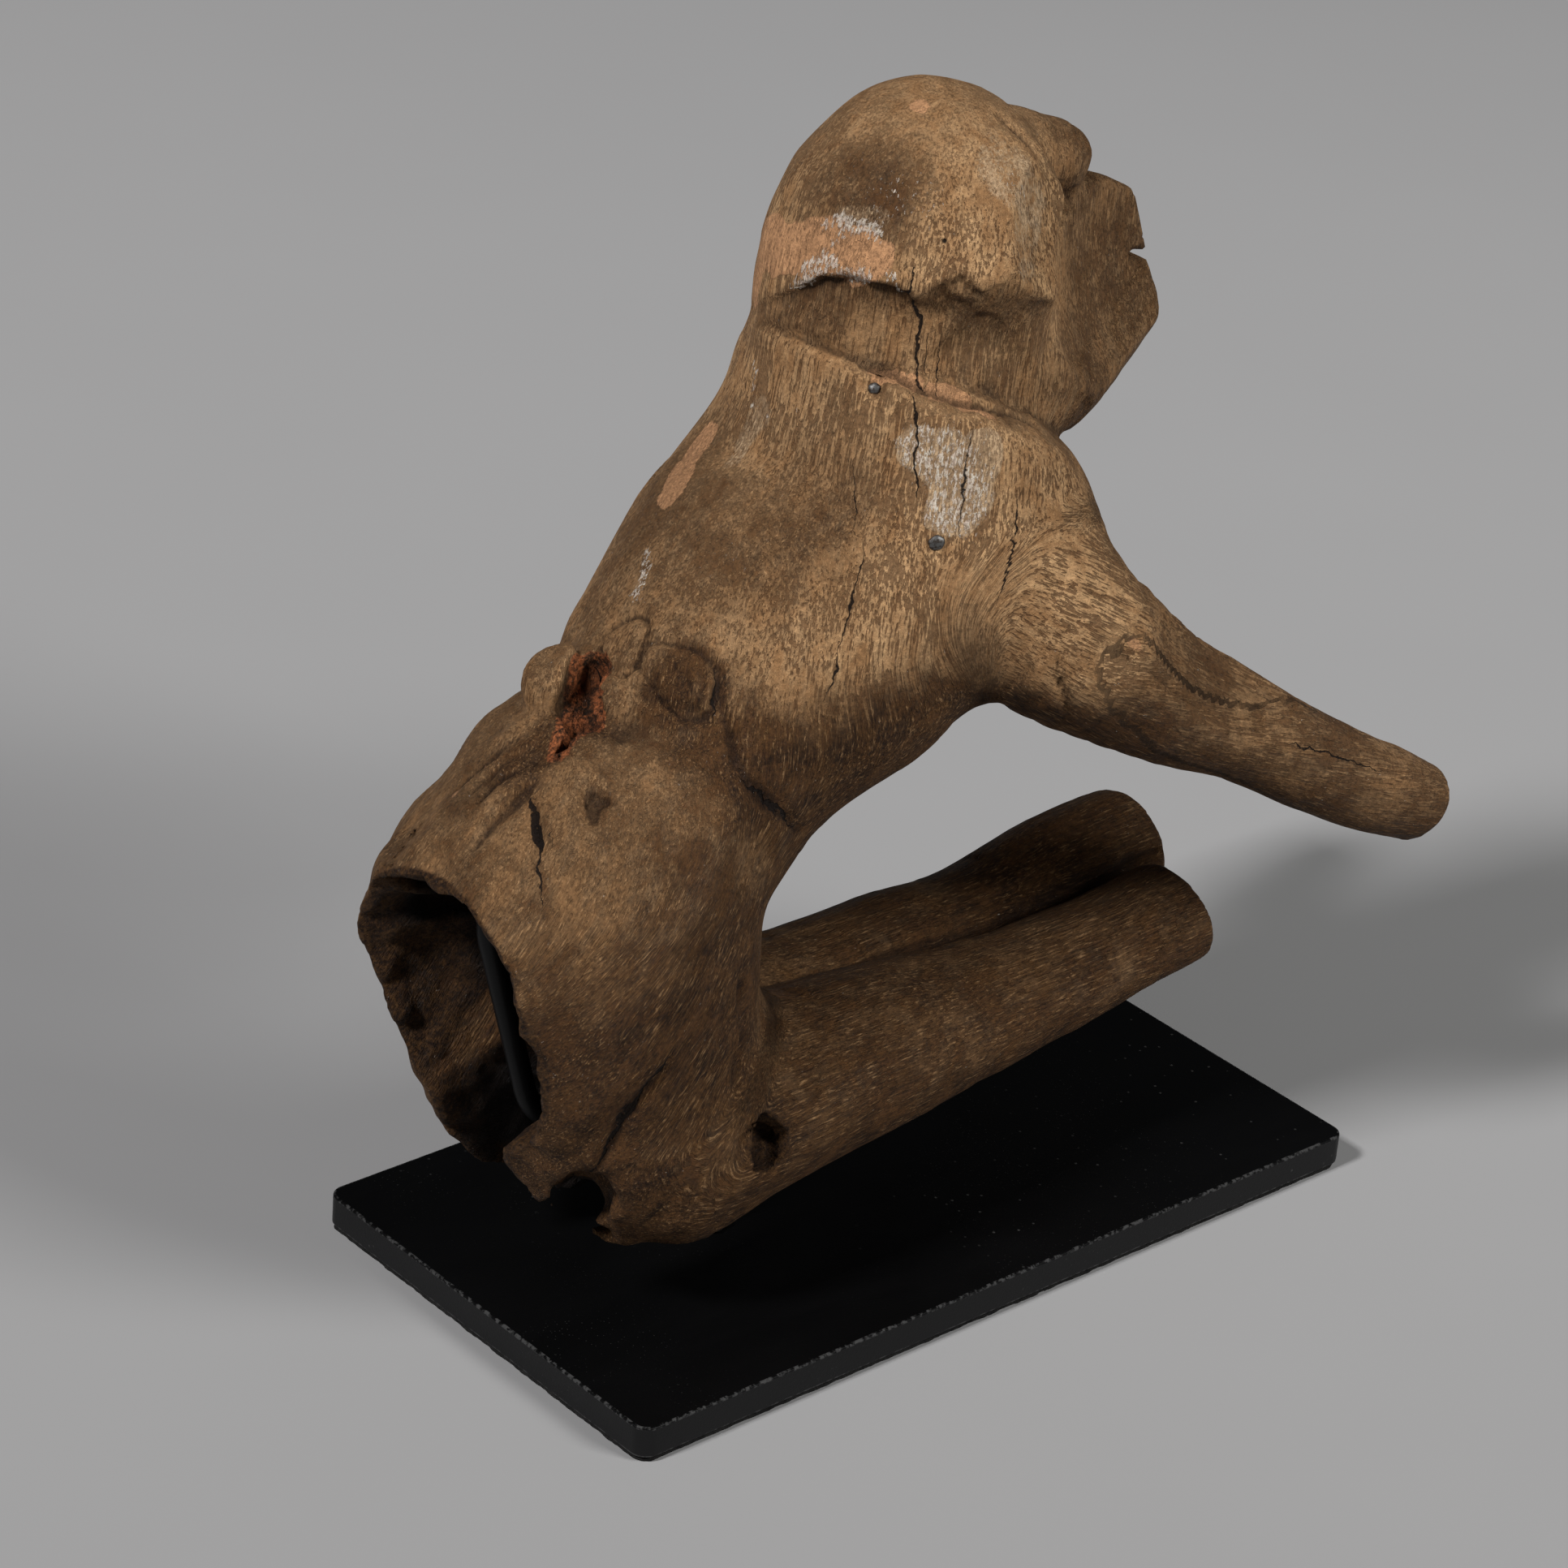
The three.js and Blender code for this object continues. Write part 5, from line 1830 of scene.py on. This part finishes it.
@dataclass(frozen=True)
class OldNail:
    """An iron nail with a flattened domed head, driven into the back."""

    name: str
    at: Spot
    out: Spot
    radius: float
    length: float = 6.0
    shank: float = 0.45
    around: int = 32

    def build(self) -> bpy.types.Object:
        """Turns the nail's profile, from the tip of the shank to the top of the head, and beats its head."""
        r, s = self.radius, self.shank
        shank = [(0.05, -self.length), (s, -self.length + 1.0), (s, -0.15)]
        dome = [(0.8, -0.12), (1.0, 0.0), (0.98, 0.12), (0.85, 0.26), (0.55, 0.36), (0.2, 0.4)]
        profile = np.array(shank + [(share * r, height) for share, height in dome])
        axis = unit(np.array(self.out))
        across = unit(np.cross(UP, axis))
        up = np.cross(axis, across)
        angle = 2.0 * np.pi * np.arange(self.around) / self.around
        beaten = 1.0 + 0.07 * np.sin(2.0 * angle + 1.0) + 0.04 * np.sin(5.0 * angle)
        head = np.where(profile[:, 1:] > -0.14, beaten, 1.0)
        ring = np.cos(angle)[:, None] * across + np.sin(angle)[:, None] * up
        rings = (np.array(self.at) + (profile[:, :1] * head)[..., None] * ring[None]
                 + profile[:, 1][:, None, None] * axis)
        piece = solid_piece(f"{self.name}_head", rings)
        piece.data.materials.append(NailIron().material())
        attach(piece, BODY)
        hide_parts(self.name)
        return piece


# Picture


@dataclass(frozen=True)
class Lamp:
    """A square lamp that stands in a direction from the figure and faces it."""

    name: str
    toward: Spot
    distance: float
    size: float
    watts: float
    tint: Colour

    def build(self, middle: Vector) -> None:
        """Adds the lamp, turned to the middle."""
        data = bpy.data.lights.new(self.name, "AREA")
        data.energy, data.size, data.color = self.watts, self.size, self.tint
        lamp = linked(self.name, data)
        way = Vector(self.toward).normalized()
        lamp.location = middle + self.distance * way
        lamp.rotation_euler = way.to_track_quat("Z", "Y").to_euler()


@dataclass(frozen=True)
class Studio:
    """The photograph's camera, light and plain floor."""

    azimuth: float = 42.86
    elevation: float = 27.44
    roll: float = 4.86
    place: Spot = (-435.9, -448.3, 393.3)
    lens: float = 111.8
    lamps: tuple[Lamp, ...] = (
        Lamp("key", (-0.727, 0.0, 0.686), 2.2, 0.3, 41.0, (1.0, 0.985, 0.985)),
        Lamp("fill", (0.264, -0.764, 0.588), 1.8, 0.6, 20.5, (1.0, 0.99, 0.97)),
    )
    lit_height: float = 0.07
    floor_reach: float = 3.0
    ambient: Colour = (0.9, 0.95, 1.0)
    ambient_strength: float = 0.035

    def camera(self) -> None:
        """Turns the camera from azimuth, elevation and roll."""
        az, el, roll = (math.radians(value) for value in (self.azimuth, self.elevation, self.roll))
        ahead = Vector((math.sin(az) * math.cos(el), math.cos(az) * math.cos(el), -math.sin(el)))
        level = Vector((math.cos(az), -math.sin(az), 0.0))
        upright = level.cross(ahead)
        right = math.cos(roll) * level + math.sin(roll) * upright
        above = -math.sin(roll) * level + math.cos(roll) * upright
        turned = Matrix((right, above, -ahead)).transposed().to_4x4()
        data = bpy.data.cameras.new("camera")
        data.lens, data.sensor_width = self.lens, 36.0
        data.clip_start, data.clip_end = 0.02, 20.0
        eye = linked("camera", data)
        eye.matrix_world = Matrix.Translation(MM * Vector(self.place)) @ turned
        bpy.context.scene.camera = eye

    def floor(self) -> None:
        """A wide flat sheet under the felt."""
        mesh = bpy.data.meshes.new("floor")
        reach = self.floor_reach
        corners = [(-reach, -reach, 0.0), (reach, -reach, 0.0), (reach, reach, 0.0), (-reach, reach, 0.0)]
        mesh.from_pydata(corners, [], [(0, 1, 2, 3)])
        mesh.materials.append(StudioFloor().material())
        linked("floor", mesh)

    def build(self) -> None:
        """Sets camera, floor, lamps and world."""
        self.camera()
        self.floor()
        for lamp in self.lamps:
            lamp.build(Vector((0.0, 0.0, self.lit_height)))
        world = bpy.data.worlds.new("studio")
        world.use_nodes = True
        background = world.node_tree.nodes["Background"]
        background.inputs["Color"].default_value = (*self.ambient, 1.0)
        background.inputs["Strength"].default_value = self.ambient_strength
        bpy.context.scene.world = world
        bpy.context.scene.view_settings.view_transform = "Standard"


def main() -> None:
    """Builds every piece, then the picture."""
    logging.basicConfig(level=logging.INFO, format="%(message)s")
    parts = (
        CarvedFigure(),
        SupportRod(),
        BasePlate(),
        FeltPad(),
        *(OldNail(*nail) for nail in CarvedFigure.nails),
    )
    for part in parts:
        piece = part.build()
        LOG.info("%s: %d faces", piece.name, len(piece.data.polygons))
    Studio().build()


if __name__ == "__main__":
    main()
